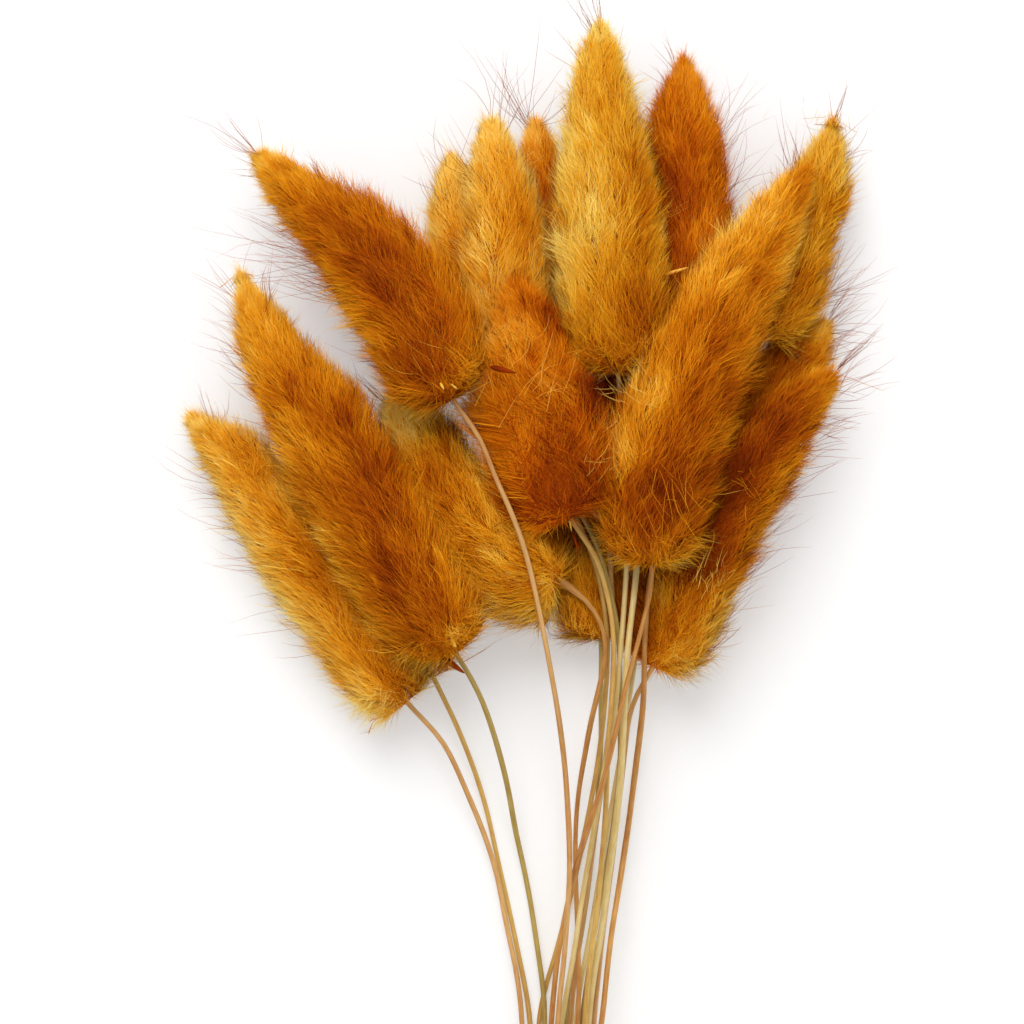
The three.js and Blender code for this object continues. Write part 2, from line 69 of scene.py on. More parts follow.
# Fur profile of a head from base to tip, as in the solids.
BASE_DOME = 0.16
WIDEST_AT = 0.2
TAPER_CURVE = 2.3
TAPER_ROUND = 0.58

# Each head: lead is the first point of its stem, axis runs from base to tip (right, down, height in
# mm), width is over the fur in mm, and full is how much of a coat it wears, less where it is hidden.
# shade is its place on the fur's scale of tones. wild is how tousled the coat is, blunt is how far it
# stops short of the end of the axis in mm, and clears names stems that press it down though they pass
# beside its middle.
# patches turn the fur paler or deeper round a place (right, down, radius, amount). They are partly the
# fur's own tone, partly painted shade in gaps between heads and painted light on fur in another head's
# shadow.
# awns are fringes of dark bristles along an edge (from right, down, to right, down, how many, length in
# mm).
# straws are pale or rusty bristles lying on the fur (right, down, radius, to right, to down, how many,
# tone);
# dark ones packed into a shaded gap are painted shade. husks are seed husks caught in the fur (right, down,
# to right, to down, width in mm, tone); dark ones in a shaded gap are painted shade. swells push the coat
# out or in round a place (right, down, radius, mm).
HEADS = {
    "low_centre": dict(
        lead=(602, 690), width=15, full=0.7, shade=0.52,
        axis=[(603, 640, 5.8), (590, 592, 5.2), (575, 545, 5), (560, 480, 5)],
        # Painted shade: the deep patches round (560, 520) and (576, 534) darken the shaded gap by
        # centre_front's stem.
        tone_and_lighting_patches=[(590, 620, 30, 0.15), (560, 520, 30, -0.45), (584, 575, 24, 0.16),
                 (576, 534, 14, -0.4)],
        swells=[(588, 640, 22, -1.2)]),
    "back_left": dict(
        lead=(500, 392), width=14, full=0.8, shade=0.8,
        axis=[(478, 330, 6), (468, 270, 4.6), (458, 210, 4.4), (450, 148, 4.6)],
        tone_and_lighting_patches=[(450, 180, 24, 0.1), (462, 245, 24, -0.18)],
        awns=[(430, 250, 438, 160, 10, 6)]),
    "back_centre": dict(
        lead=(580, 400), width=13.5, full=0.8, shade=0.76,
        axis=[(565, 345, 6), (556, 290, 4.6), (548, 230, 4.3), (541, 170, 4.3), (536, 112, 4.6)],
        tone_and_lighting_patches=[(535, 180, 50, -0.2), (536, 126, 16, 0.24), (542, 215, 34, -0.22)],
        awns=[(520, 170, 535, 110, 6, 10), (550, 160, 540, 110, 4, 8)],
        straws_and_shade_fill=[(526, 118, 8, 520, 46, 8, 0.12)]),
    "right_low": dict(
        lead=(698, 512), width=16, full=0.9, shade=0.46,
        axis=[(722, 472, 4.8), (752, 428, 5), (782, 387, 5.2), (808, 352, 5.4), (831, 316, 5.6)],
        tone_and_lighting_patches=[(830, 320, 30, 0.15)],
        awns=[(835, 360, 835, 270, 34, 6), (800, 290, 838, 262, 20, 7)],
        straws_and_shade_fill=[(824, 296, 10, 880, 268, 20, 0.12), (826, 330, 8, 866, 308, 10, 0.12)],
        swells=[(766, 350, 18, 1.4)]),
    "left_low": dict(
        lead=(451, 717), width=13.5, full=0.35, shade=0.44,
        axis=[(432, 680, 4.4), (402, 618, 4), (368, 560, 4), (334, 507, 4), (300, 452, 4.2)],
        swells=[(425, 690, 16, 1.2)]),
    "left_front": dict(
        lead=(439, 738), width=17.4, full=1.0, shade=0.7,
        axis=[(404, 706, 6), (367, 643, 5.8), (318, 573, 5.8), (271, 508, 5.8), (227, 454, 5.6),
              (184, 414, 5.4)],
        tone_and_lighting_patches=[(290, 600, 40, 0.1), (205, 430, 50, 0.02), (330, 602, 30, 0.14), (270, 520, 40, 0.06),
                 (375, 665, 35, 0.08), (398, 672, 24, -0.2), (250, 460, 30, -0.1), (362, 700, 26, 0.26),
                 (338, 680, 26, -0.02), (250, 540, 24, 0.2), (300, 622, 24, 0.18), (230, 500, 26, 0.16),
                 (404, 692, 16, -0.16)],
        awns=[(340, 690, 200, 455, 70, 8), (190, 415, 260, 455, 10, 5)],
        straws_and_shade_fill=[(300, 600, 14, 285, 588, 4, 0.9)],
        swells=[(256, 438, 14, 2.4), (330, 700, 20, -1.2), (248, 560, 40, 0.9), (222, 500, 34, 0.7),
                (314, 652, 20, -0.9), (416, 700, 16, 1.5)]),
    "right_front": dict(
        lead=(641, 687), width=19.4, full=0.94, shade=0.27, blunt=2.1,
        axis=[(656, 668, 9), (680, 590, 11.5), (710, 522, 12.8), (752, 455, 12.8), (797, 407, 12),
              (842, 370, 10.5)],
        # Painted light and shade: the pale patches over its base and lower edge light fur lying in
        # right_long's shadow and near the table; the deep one at (722, 468) darkens the shaded gap beside
        # right_long.
        tone_and_lighting_patches=[(680, 650, 40, 0.46), (690, 600, 26, 0.16), (835, 375, 40, 0.12), (770, 520, 34, 0.2),
                 (738, 620, 34, 0.36), (660, 592, 28, 0.34), (692, 674, 26, 0.3), (766, 565, 26, 0.22),
                 (700, 545, 34, -0.16), (722, 468, 26, -0.4), (735, 595, 20, 0.3), (722, 632, 20, 0.2),
                 (785, 465, 20, 0.16), (832, 395, 20, 0.2), (665, 578, 20, 0.3), (780, 430, 24, -0.12)],
        awns=[(712, 655, 845, 410, 100, 5.6), (845, 400, 840, 360, 14, 6)],
        straws_and_shade_fill=[(708, 580, 26, 713, 564, 36, 0.9), (735, 480, 30, 745, 500, 10, 0.6),
                (834, 390, 12, 872, 366, 14, 0.12), (818, 425, 14, 850, 425, 12, 0.12)],
        swells=[(795, 480, 40, 1.6), (730, 640, 30, -1.2), (738, 592, 20, -0.7)]),
    "back_pale": dict(
        lead=(530, 430), width=15.6, full=0.9, shade=0.78, wild=1.6, blunt=1.9,
        axis=[(505, 370, 10), (508, 300, 11), (505, 230, 11), (498, 170, 10.4), (488, 112, 9.4)],
        tone_and_lighting_patches=[(495, 195, 26, 0.14), (500, 255, 30, 0.1), (490, 340, 35, 0.1), (522, 220, 34, -0.22)],
        awns=[(470, 200, 485, 110, 8, 9), (510, 140, 490, 105, 4, 8)],
        straws_and_shade_fill=[(498, 356, 26, 520, 340, 40, 0.8), (505, 300, 30, 500, 270, 40, 0.9),
                (492, 122, 6, 482, 52, 4, 0.12)],
        husks_and_shade_fill=[(480, 340, 492, 352, 0.5, 0.8)]),
    "centre_left": dict(
        lead=(586, 597), width=18.6, full=1.0, shade=0.57,
        axis=[(562, 577, 10.5), (524, 571, 10.8), (490, 545, 10.8), (446, 492, 10.4), (414, 440, 9.6),
              (396, 386, 8.2)],
        # Painted light: the pale patch at (403, 412) lights its tip where upper_left's head shades it.
        tone_and_lighting_patches=[(403, 412, 46, 0.27), (452, 428, 18, -0.3), (540, 600, 40, 0.15), (500, 560, 30, 0.1),
                 (480, 500, 40, 0.14), (535, 550, 30, 0.14), (556, 526, 18, -0.5), (520, 600, 24, 0.2),
                 (440, 440, 24, -0.16), (462, 480, 20, -0.12)],
        awns=[(560, 610, 470, 600, 24, 5), (400, 480, 380, 400, 20, 5)],
        swells=[(500, 618, 30, 0.8), (380, 400, 20, 1.6), (440, 420, 30, 0.8), (450, 424, 20, 1.6)]),
    "left_long": dict(
        lead=(478, 690), width=19, full=1.0, shade=0.49, blunt=1.8,
        axis=[(455, 652, 12), (408, 575, 14.4), (352, 482, 14.6), (302, 400, 13), (262, 330, 11),
              (237, 268, 9)],
        tone_and_lighting_patches=[(380, 482, 42, -0.36), (405, 556, 34, -0.28), (335, 415, 30, -0.14),
                 (262, 360, 40, 0.12), (320, 540, 34, 0.08), (425, 622, 34, -0.08),
                 (256, 326, 30, -0.02), (250, 290, 30, 0.1), (295, 450, 30, 0.14), (400, 480, 26, 0.14),
                 (456, 632, 14, 0.34), (430, 652, 16, -0.1)],
        awns=[(262, 430, 235, 300, 36, 6), (330, 400, 400, 480, 50, 5), (245, 275, 300, 350, 14, 5)],
        straws_and_shade_fill=[(330, 480, 60, 300, 440, 14, 0.1)],
        husks_and_shade_fill=[(443, 657, 465, 673, 1.0, 0.0), (451, 637, 457, 646, 0.75, 0.74)],
        swells=[(232, 300, 30, -1.0), (262, 290, 22, -0.9), (365, 390, 40, 1.6)]),
    "top_centre": dict(
        lead=(620, 410), width=18, full=1.0, shade=0.64, wild=1.3, blunt=2.3,
        axis=[(617, 375, 18.5), (611, 300, 19.2), (606, 220, 18.4), (602, 130, 16), (600, 18, 13)],
        tone_and_lighting_patches=[(580, 230, 60, 0.24), (592, 100, 50, 0.12), (645, 250, 40, -0.24),
                 (610, 372, 34, -0.26), (642, 312, 26, -0.36), (600, 56, 26, -0.14),
                 (588, 155, 30, 0.2), (636, 160, 20, -0.14), (642, 184, 20, -0.22),
                 (549, 218, 16, -0.3), (656, 206, 14, -0.3), (600, 240, 26, 0.1)],
        awns=[(600, 40, 600, 20, 10, 6), (575, 120, 590, 30, 14, 5)],
        straws_and_shade_fill=[(582, 240, 34, 592, 215, 60, 0.95)],
        swells=[(624, 44, 20, -0.5)]),
    "back_right": dict(
        lead=(656, 450), width=16, full=1.0, shade=0.41, blunt=2.1,
        axis=[(663, 400, 9), (677, 330, 10), (688, 240, 10), (688, 160, 9.4), (685, 48, 8.4)],
        tone_and_lighting_patches=[(687, 60, 24, 0.26), (656, 250, 36, -0.26), (690, 330, 40, -0.1), (694, 235, 26, 0.18),
                 (640, 178, 22, -0.3), (662, 150, 16, 0.1), (658, 200, 20, -0.16),
                 (708, 108, 14, 0.14)],
        awns=[(735, 260, 725, 130, 30, 8), (665, 90, 680, 50, 10, 4)],
        # Painted shade: the dark straw row at (611, 392) and the two dark husk rows at (603, 402) and (608,
        # 428) fill the shaded gap under top_centre's base with near-black bristles and shells.
        straws_and_shade_fill=[(611, 392, 22, 606, 362, 300, 0.03), (722, 196, 10, 742, 140, 8, 0.12)],
        husks_and_shade_fill=[(659, 279, 687, 270, 0.6, 0.9), (603, 402, 625, 372, 4.6, 0.0),
               (608, 428, 613, 396, 3.2, 0.0)],
        swells=[(650, 120, 40, 2.2), (722, 150, 40, 0.8), (668, 62, 20, -0.6), (700, 62, 20, -0.6)]),
    "centre_front": dict(
        lead=(592, 548), width=22.6, full=1.0, shade=0.42, wild=2.2, clears=("upper_left",),
        axis=[(568, 519, 17.5), (552, 450, 19), (537, 385, 19.2), (525, 330, 19.4), (515, 280, 20)],
        # Painted shade: the deep patches at (596, 386) and (611, 404) darken the shaded gap under
        # top_centre's base.
        tone_and_lighting_patches=[(512, 326, 30, 0.14), (540, 400, 32, 0.1), (500, 400, 30, 0.12), (600, 436, 22, 0.12),
                 (550, 500, 40, -0.1), (505, 345, 24, 0.22), (552, 318, 20, -0.3), (545, 360, 22, 0.16),
                 (562, 392, 26, 0.2), (596, 386, 20, -0.6), (611, 404, 15, -0.6), (500, 450, 22, 0.14)],
        awns=[(612, 520, 600, 400, 24, 4)],
        straws_and_shade_fill=[(600, 470, 26, 620, 450, 24, 0.9), (520, 380, 50, 530, 350, 30, 0.85),
                (545, 440, 40, 560, 410, 30, 0.1), (492, 342, 18, 508, 326, 50, 0.86)],
        husks_and_shade_fill=[(491, 371, 516, 377, 0.9, 0.0), (566, 505, 571, 532, 0.42, 0.97),
               (571, 528, 579, 556, 0.32, 0.06)],
        swells=[(474, 410, 25, 3.7), (608, 422, 12, 0.6)]),
    "far_right": dict(
        lead=(733, 390), width=14.8, full=0.9, shade=0.53, blunt=2.2,
        axis=[(760, 338, 9.6), (777, 295, 9.4), (797, 243, 8.8), (821, 180, 8), (837, 110, 7.4)],
        tone_and_lighting_patches=[(830, 150, 44, 0.2), (808, 240, 24, 0.2)],
        awns=[(838, 120, 838, 105, 5, 5), (852, 200, 848, 130, 12, 4), (785, 165, 800, 140, 6, 6)],
        straws_and_shade_fill=[(836, 122, 4, 838, 84, 3, 0.12)],
        swells=[(818, 122, 26, -2.2), (846, 190, 30, 0.6), (845, 240, 24, -1.0), (762, 344, 16, 1.6),
                (822, 306, 12, 1.0)]),
    "right_long": dict(
        lead=(651, 591), width=19.4, full=1.0, shade=0.44,
        axis=[(650, 564, 17.2), (652, 500, 19), (672, 420, 20), (711, 330, 19.6), (757, 250, 18),
              (806, 170, 16)],
        # Painted shade: the deep patches at (612, 400), (718, 465), (722, 468) and (738, 402) darken the
        # shaded gaps beside centre_front and right_front.
        tone_and_lighting_patches=[(655, 490, 50, -0.17), (640, 400, 30, 0.34), (618, 450, 26, 0.35),
                 (700, 450, 30, 0.14), (670, 545, 30, 0.14), (700, 330, 40, -0.06), (650, 350, 30, 0.2),
                 (738, 225, 46, 0.26), (690, 285, 36, 0.18), (800, 190, 30, -0.06),
                 (682, 520, 26, -0.22), (718, 465, 22, -0.22), (740, 305, 40, 0.06),
                 (612, 400, 14, -0.7), (738, 402, 20, -0.3), (780, 200, 26, 0.14), (720, 280, 26, 0.08),
                 (722, 468, 14, -0.3)],
        awns=[(780, 210, 700, 330, 40, 5), (735, 210, 800, 165, 10, 4)],
        straws_and_shade_fill=[(658, 478, 30, 674, 520, 22, 0.55), (632, 398, 24, 614, 384, 22, 0.95)],
        swells=[(614, 428, 14, 0.7)]),
    "upper_left": dict(
        lead=(480, 436), width=19, full=1.0, shade=0.47, wild=1.4, blunt=2.3,
        axis=[(452, 402, 19), (421, 327, 18.4), (372, 261, 16.4), (310, 204, 13.6), (249, 149, 10.6)],
        tone_and_lighting_patches=[(265, 165, 50, 0.14), (425, 385, 40, -0.12), (405, 315, 75, -0.12),
                 (468, 372, 26, 0.2), (376, 298, 26, -0.16)],
        awns=[(318, 252, 420, 390, 70, 12.5), (255, 150, 262, 180, 6, 7), (320, 175, 405, 240, 70, 3.4),
              (262, 172, 318, 248, 22, 4)],
        straws_and_shade_fill=[(440, 385, 26, 420, 370, 14, 0.9), (256, 154, 6, 214, 124, 5, 0.12),
                (345, 290, 16, 290, 268, 16, 0.12)],
        husks_and_shade_fill=[(442, 386, 446, 393, 0.45, 0.85), (452, 387, 459, 392, 0.35, 0.9)],
        swells=[(240, 155, 24, -1.2), (320, 175, 26, -1.4), (345, 190, 14, -0.8), (385, 190, 26, 1.0),
                (300, 250, 60, -0.8)]),
}

# The fur's scale of tones, from the deep red-brown of the painted shade at the heart of the coat to the
# pale of the painted light at the fringe's ends.
FUR_SCALE = [(0.0, (0.44, 0.145, 0.005)), (0.2, (0.63, 0.25, 0.006)), (0.4, (0.78, 0.41, 0.014)),
             (0.6, (0.9, 0.57, 0.06)), (0.8, (0.96, 0.71, 0.18)), (1.0, (1.0, 0.87, 0.45))]

# Painted shade and light along each hair: how much deeper it is painted towards its root, as the shade
# deep in the coat, and paler towards its point, as light through the fringe.
ROOT_PAINTED_SHADE = 0.22
ROOT_SHADE_FADE = 1.5
POINT_LIGHT_FROM = 0.55
POINT_PAINTED_LIGHT = 0.2

# How each finish turns that scale: red, green and blue.
FUR_TINTS = {
    "fur_golden": (1.0, 1.0, 1.0),
    "fur_amber": (0.98, 0.99, 1.0),
    "fur_orange": (1.0, 0.985, 0.92),
    "fur_burnt": (1.0, 0.93, 0.8),
    "fur_brown": (0.97, 0.94, 0.8),
    "fur_olive": (0.98, 1.01, 1.02),
}

# Straw colours of the stems: pale and dark.
STRAW_TONES = {
    "tan": ((0.87, 0.71, 0.46), (0.68, 0.45, 0.2)),
    "gold": ((0.86, 0.72, 0.38), (0.66, 0.47, 0.2)),
    "olive": ((0.76, 0.67, 0.36), (0.56, 0.44, 0.18)),
    "cream": ((0.92, 0.84, 0.6), (0.76, 0.64, 0.36)),
    "rust": ((0.84, 0.64, 0.34), (0.62, 0.37, 0.12)),
}
STEM_STRAW = {
    "low_centre": "olive", "back_left": "gold", "back_centre": "tan", "right_low": "cream",
    "left_low": "gold", "left_front": "tan", "right_front": "tan", "back_pale": "olive",
    "centre_left": "rust", "left_long": "olive", "top_centre": "cream", "back_right": "cream",
    "centre_front": "gold", "far_right": "rust", "right_long": "rust", "upper_left": "tan",
}

# Straw: how fine its lines are (around, along, unused), the run of its UV map for each metre of stem,
# its thickness as a share of the solid's, and how much of each end of the solid is left out.
STRAW_LINES = (9.0, 40.0, 1.0)
STRAW_RUN = 10
STRAW_SIZE = 0.88
STRAW_ENDS = (0.02 * MM, 1.0 * MM)

HEAD_SEED = 900
STEM_SEED = 300

# How the tone of a head's fur moves: with its blotches, with painted light that makes its sides paler and
# painted shade that makes its top deeper, and towards its tip. Tones stay within limits, and a hair is a
# little wide in the UV map.
BLOTCHES = 26
BLOTCH_SIZE = 3.6 * MM
BLOTCH_TONE = 0.075
SIDE_PAINTED_LIGHT = 0.32
SIDE_LIGHT_LEVEL = 0.55
TIP_TONE = 0.2
TONE_LIMITS = (0.03, 0.98)
UV_WIDTH = 0.008

# Normals of flat hairs: how far they lean along the hair, with its flat side and up. TWIST is how far
# a hair may turn round its own length, in radians.
NORMAL_RUN = 0.35
NORMAL_FLAT = 0.45
NORMAL_UP = 0.75
TWIST = 0.8

# Long hairs. Lengths, widths and pull are shares of the settings, and roots and ends of the coat's
# reach. A few hairs are much paler. Heads with a radius under FULL_LENGTH_AT have shorter hairs.
COAT_LENGTHS = (0.55, 1.15)
COAT_WIDTHS = (0.75, 1.25)
COAT_ROOTS = (0.42, 0.82)
COAT_ENDS = (0.93, 1.0)
COAT_PULL = (0.2, 1.3)
COAT_BLOTCH_LEAN = 0.16
COAT_LEAN = 0.09
COAT_WAVE = 0.28 * MM
COAT_BEND = 0.16 * MM
FULL_LENGTH_AT = 8.5 * MM
PALE_HAIRS = 0.03

# Locks: where they stand along a head and round from its top, with a spread, their sizes, their reach
# ahead and out in mm, and their share of that reach halfway.
LOCK_ALONG = (0.03, 0.96)
LOCK_SIDE = (1.35, 0.35)
LOCK_SIZES = (0.5, 1.2)
LOCK_AHEAD = (3.2, 6.2)
LOCK_STAND = (0.5, 2.4)
LOCK_BOW = 0.66

# Short hairs: one flat triangle (across, along) and its V, the lean away from the head by share of the
# head's length, and the skirt of hairs that turn back round the base.
DOWN_HAIR = (np.array([(-0.5, 0.0), (0.5, 0.0), (0.0, 1.0)]), np.array([[0, 1, 2]]),
             np.array([0.45, 0.45, 1.0]))
DOWN_WIDTH = 0.8
DOWN_SLOPE = ([0, 0.06, 0.2, 0.8, 1], [1.6, 1.0, 0.5, 0.45, 0.3])
SKIRT_END = 0.09
SKIRT_SHARE = 0.5

# Needles: their sides and their radii from root to point. Straws and husks: how they lie on the coat.
NEEDLE_SIDES = 3
NEEDLE_RADII = np.array([0.038, 0.036, 0.032, 0.024, 0.008]) * MM
STRAW_SUNK = 0.2 * MM
STRAW_RISE = 0.5 * MM
HUSK_RISE = 1.5 * MM

# The core: its reach as a share of the coat's, how far it stays under stems, and its lowest point.
# TABLE_GAP is how close any hair may come to the table.
CORE_REACH = (0.7, 0.8)
CORE_SUNK = 1.1 * MM
CORE_LOWEST = 0.3 * MM
TABLE_GAP = 0.12 * MM

# The stage: the table under the bunch, the lamp beyond the heads and the camera's level of true size.
TABLE_SIZE = 6
TABLE_HEIGHT = -0.0001
TABLE_GRAIN = 300.0
LAMP_SIZE = 0.8
LAMP_FROM = (-0.15, 0.75, 0.95)
TRUE_LEVEL = 12 * MM
WHITE = (1.0, 1.0, 1.0, 1.0)


class FurSettings(bpy.types.PropertyGroup):
    coat: bpy.props.FloatProperty(
        name="Coat", description="Long hairs for each square mm of a head seen from above",
        default=15.0, min=1)
    down: bpy.props.FloatProperty(
        name="Down", description="Short fine hairs for each square mm of a head seen from above",
        default=23.0, min=0)
    length: bpy.props.FloatProperty(
        name="Length", description="Length of a coat hair", default=7.0 * MM, unit="LENGTH")
    down_length: bpy.props.FloatProperty(
        name="Down length", description="Length of a short hair", default=3.6 * MM, unit="LENGTH")
    width: bpy.props.FloatProperty(
        name="Width", description="Width of a coat hair", default=0.115 * MM, unit="LENGTH")
    flare: bpy.props.FloatProperty(
        name="Flare", description="How far the wildest hairs stand away from the coat",
        default=2.2 * MM, unit="LENGTH")
    fringe: bpy.props.FloatProperty(
        name="Fringe", description="How far hair ends stand off the coat", default=1.2 * MM,
        unit="LENGTH")
    tuft: bpy.props.FloatProperty(
        name="Tuft", description="Spacing of the tufts that the hairs gather into",
        default=3.1 * MM, unit="LENGTH")
    clump: bpy.props.FloatProperty(
        name="Clump", description="How strongly hairs gather into tufts", default=0.6,
        subtype="FACTOR", min=0, max=1)
    bristles: bpy.props.IntProperty(
        name="Bristles", description="Long thin awns scattered over a seed head", default=16, min=0)
    locks: bpy.props.FloatProperty(
        name="Locks", description="Pointed locks for each mm of a head, standing out along its sides",
        default=0.9, min=0)
    lock_hairs: bpy.props.IntProperty(
        name="Lock hairs", description="Hairs in a pointed lock", default=34, min=1)
    bristle_length: bpy.props.FloatProperty(
        name="Bristle length", description="Longest scattered awn", default=11 * MM, unit="LENGTH")


class StemSettings(bpy.types.PropertyGroup):
    step: bpy.props.FloatProperty(
        name="Step", description="Distance between the rings of a stem", default=1.8 * MM, unit="LENGTH")
    swell: bpy.props.FloatProperty(
        name="Swell", description="How much a stem thickens and thins along its length",
        default=0.03, subtype="FACTOR")


class StageSettings(bpy.types.PropertyGroup):
    floor: bpy.props.FloatVectorProperty(
        name="Table", description="Colour of the table", default=(0.62, 0.62, 0.622), subtype="COLOR")
    glow: bpy.props.FloatProperty(
        name="Table glow", description="Light that the table gives off", default=0.3, min=0)
    sky: bpy.props.FloatProperty(
        name="Fill light", description="Strength of the light from all round", default=0.8)
    key: bpy.props.FloatProperty(
        name="Key light", description="Power of the soft lamp beyond the heads", default=10.0,
        unit="POWER")
    lens: bpy.props.FloatProperty(
        name="Lens", description="Focal length of the camera in mm", default=120.0)


def place(right, down, height=0.0):
    """A point of the layout grid, with its height in mm, in the model's frame."""
    return np.array([(right - GRID_MIDDLE) * GRID + VIEW_MIDDLE[0],
                     (GRID_MIDDLE - down) * GRID + VIEW_MIDDLE[1], height * MM])


def linear(colour):
    """A display colour as the linear values that the shaders take."""
    return tuple(c / 12.92 if c <= 0.04045 else ((c + 0.055) / 1.055) ** 2.4 for c in colour) + (1.0,)


class Value:
    """A shader socket that can stand in sums."""

    def __init__(self, tree, socket):
        self.tree, self.socket = tree, socket

    def _math(self, operation, first, second):
        node = self.tree.nodes.new("ShaderNodeMath")
        node.operation = operation
        for slot, item in zip(node.inputs, (first, second)):
            if isinstance(item, Value):
                self.tree.links.new(item.socket, slot)
            else:
                slot.default_value = item
        return Value(self.tree, node.outputs[0])

    def __add__(self, other):
        return self._math("ADD", self, other)

    __radd__ = __add__

    def __mul__(self, other):
        return self._math("MULTIPLY", self, other)

    __rmul__ = __mul__

    def __sub__(self, other):
        return self._math("SUBTRACT", self, other)

    def __rsub__(self, other):
        return self._math("SUBTRACT", other, self)

    def __pow__(self, other):
        return self._math("POWER", self, other)


class Shader:
    """A material's node tree and the ways of adding to it."""

    def __init__(self, name):
        self.material = bpy.data.materials.new(name)
        self.material.use_nodes = True
        self.tree = self.material.node_tree
        self.surface = next(n for n in self.tree.nodes if n.type == "BSDF_PRINCIPLED")

    def node(self, kind, settings=None, inputs=None, output=0):
        """Adds a node of a kind, sets it up, fills its sockets and returns one output."""
        made = self.tree.nodes.new(kind)
        for key, value in (settings or {}).items():
            if key == "stops":
                ramp = made.color_ramp
                for index, (position, colour) in enumerate(value):
                    stop = ramp.elements[index] if index < 2 else ramp.elements.new(position)
                    stop.position, stop.color = position, colour
            else:
                setattr(made, key, value)
        for key, value in (inputs or {}).items():
            if isinstance(value, Value):
                self.tree.links.new(value.socket, made.inputs[key])
            else:
                made.inputs[key].default_value = value
        return Value(self.tree, made.outputs[output])

    def mix(self, factor, first, second, blend="MIX"):
        """Two colours mixed by a factor."""
        made = self.tree.nodes.new("ShaderNodeMix")
        made.data_type, made.blend_type = "RGBA", blend
        for slot, item in ((0, factor), (6, first), (7, second)):
            if isinstance(item, Value):
                self.tree.links.new(item.socket, made.inputs[slot])
            else:
                made.inputs[slot].default_value = item
        return Value(self.tree, made.outputs[2])

    def feed(self, socket, value):
        """Links or sets a socket of the surface shader."""
        if isinstance(value, Value):
            self.tree.links.new(value.socket, self.surface.inputs[socket])
        else:
            self.surface.inputs[socket].default_value = value


def fur_material(name, tint):
    """Soft dry fur, dull all over, with painted shade at the hairs' roots and painted light at their
    points.
    Its UV map holds the hair's tone across and its length up.
    """
    shader = Shader(name)
    where = shader.node("ShaderNodeUVMap", {"uv_map": "hair"})
    tone = shader.node("ShaderNodeSeparateXYZ", inputs={"Vector": where}, output=0)
    along = shader.node("ShaderNodeSeparateXYZ", inputs={"Vector": where}, output=1)
    stops = [(position, linear(tuple(min(c * t, 1) for c, t in zip(colour, tint))))
             for position, colour in FUR_SCALE]
    point = shader.node("ShaderNodeMapRange",
                        inputs={"Value": along, 1: POINT_LIGHT_FROM, 2: 1.0, 3: 0.0, 4: POINT_PAINTED_LIGHT})
    # Painted shade towards each hair's root and painted light towards its point.
    depth = tone - ROOT_PAINTED_SHADE * (1 - along) ** ROOT_SHADE_FADE + point
    shader.feed("Base Color", shader.node("ShaderNodeValToRGB", {"stops": stops}, {"Fac": depth}))
    shader.feed("Roughness", 0.95 - along * 0.2)
    shader.feed("Specular IOR Level", 0.05)
    return shader.material


def straw_material(name, tones):
    """Dry straw: fine lines along the stem, slow changes of colour, a dull shine, and painted light and
    shade that make one side of each stem paler and the other darker.
    """
    pale, dark = (linear(tone) for tone in tones)
    shader = Shader(name)
    where = shader.node("ShaderNodeUVMap", {"uv_map": "stem"})
    lines = shader.node("ShaderNodeMapping", inputs={"Vector": where, "Scale": STRAW_LINES})
    grain = shader.node("ShaderNodeTexNoise", inputs={"Vector": lines, "Scale": 1.0, "Detail": 4.0})
    coordinates = shader.node("ShaderNodeTexCoord", output=3)
    slow = shader.node("ShaderNodeTexNoise", inputs={"Vector": coordinates, "Scale": 45.0, "Detail": 2.0})
    fibre = shader.node("ShaderNodeMapRange", inputs={"Value": grain, 1: 0.35, 2: 0.65})
    age = shader.node("ShaderNodeMapRange", inputs={"Value": slow, 1: 0.35, 2: 0.7})
    around = shader.node("ShaderNodeSeparateXYZ", inputs={"Vector": where})
    # Painted light and shade: one side of the stem is painted paler and the other darker, as if lit from
    # one side.
    lit_side = shader.node("ShaderNodeMath", {"operation": "SINE"}, {0: around * (2 * math.pi) - 0.9})
    shader.feed("Base Color", shader.mix(fibre * 0.35 + age * 0.4 + lit_side * 0.3 + 0.05, pale, dark))
    shader.feed("Roughness", grain * 0.25 + 0.35)
    bump = shader.node("ShaderNodeBump", inputs={"Height": grain, "Strength": 0.25, "Distance": 0.0001})
    shader.feed("Normal", bump)
    shader.feed("Specular IOR Level", 0.4)
    return shader.material


def deselect():
    """Nothing selected, and object mode."""
    if bpy.context.object and bpy.context.object.mode != "OBJECT":
        bpy.ops.object.mode_set(mode="OBJECT")
    bpy.ops.object.select_all(action="DESELECT")


def active_mesh():
    """The vertices and faces of the object just modelled, which is then removed."""
    made = bpy.context.object
    points = np.array([made.matrix_world @ v.co for v in made.data.vertices])
    faces = np.array([tuple(f.vertices) for f in made.data.polygons])
    data = made.data
    bpy.data.objects.remove(made)
    bpy.data.meshes.remove(data)
    return points, faces


def ball(segments, rings):
    """A unit ball of triangles with its poles along Z, to be drawn out into another shape."""
    deselect()
    bpy.ops.mesh.primitive_uv_sphere_add(segments=segments, ring_count=rings, radius=1,
                                         location=(0, 0, 0))
    bpy.ops.object.mode_set(mode="EDIT")
    bpy.ops.mesh.select_all(action="SELECT")
    bpy.ops.mesh.quads_convert_to_tris()
    bpy.ops.object.mode_set(mode="OBJECT")
    return active_mesh()


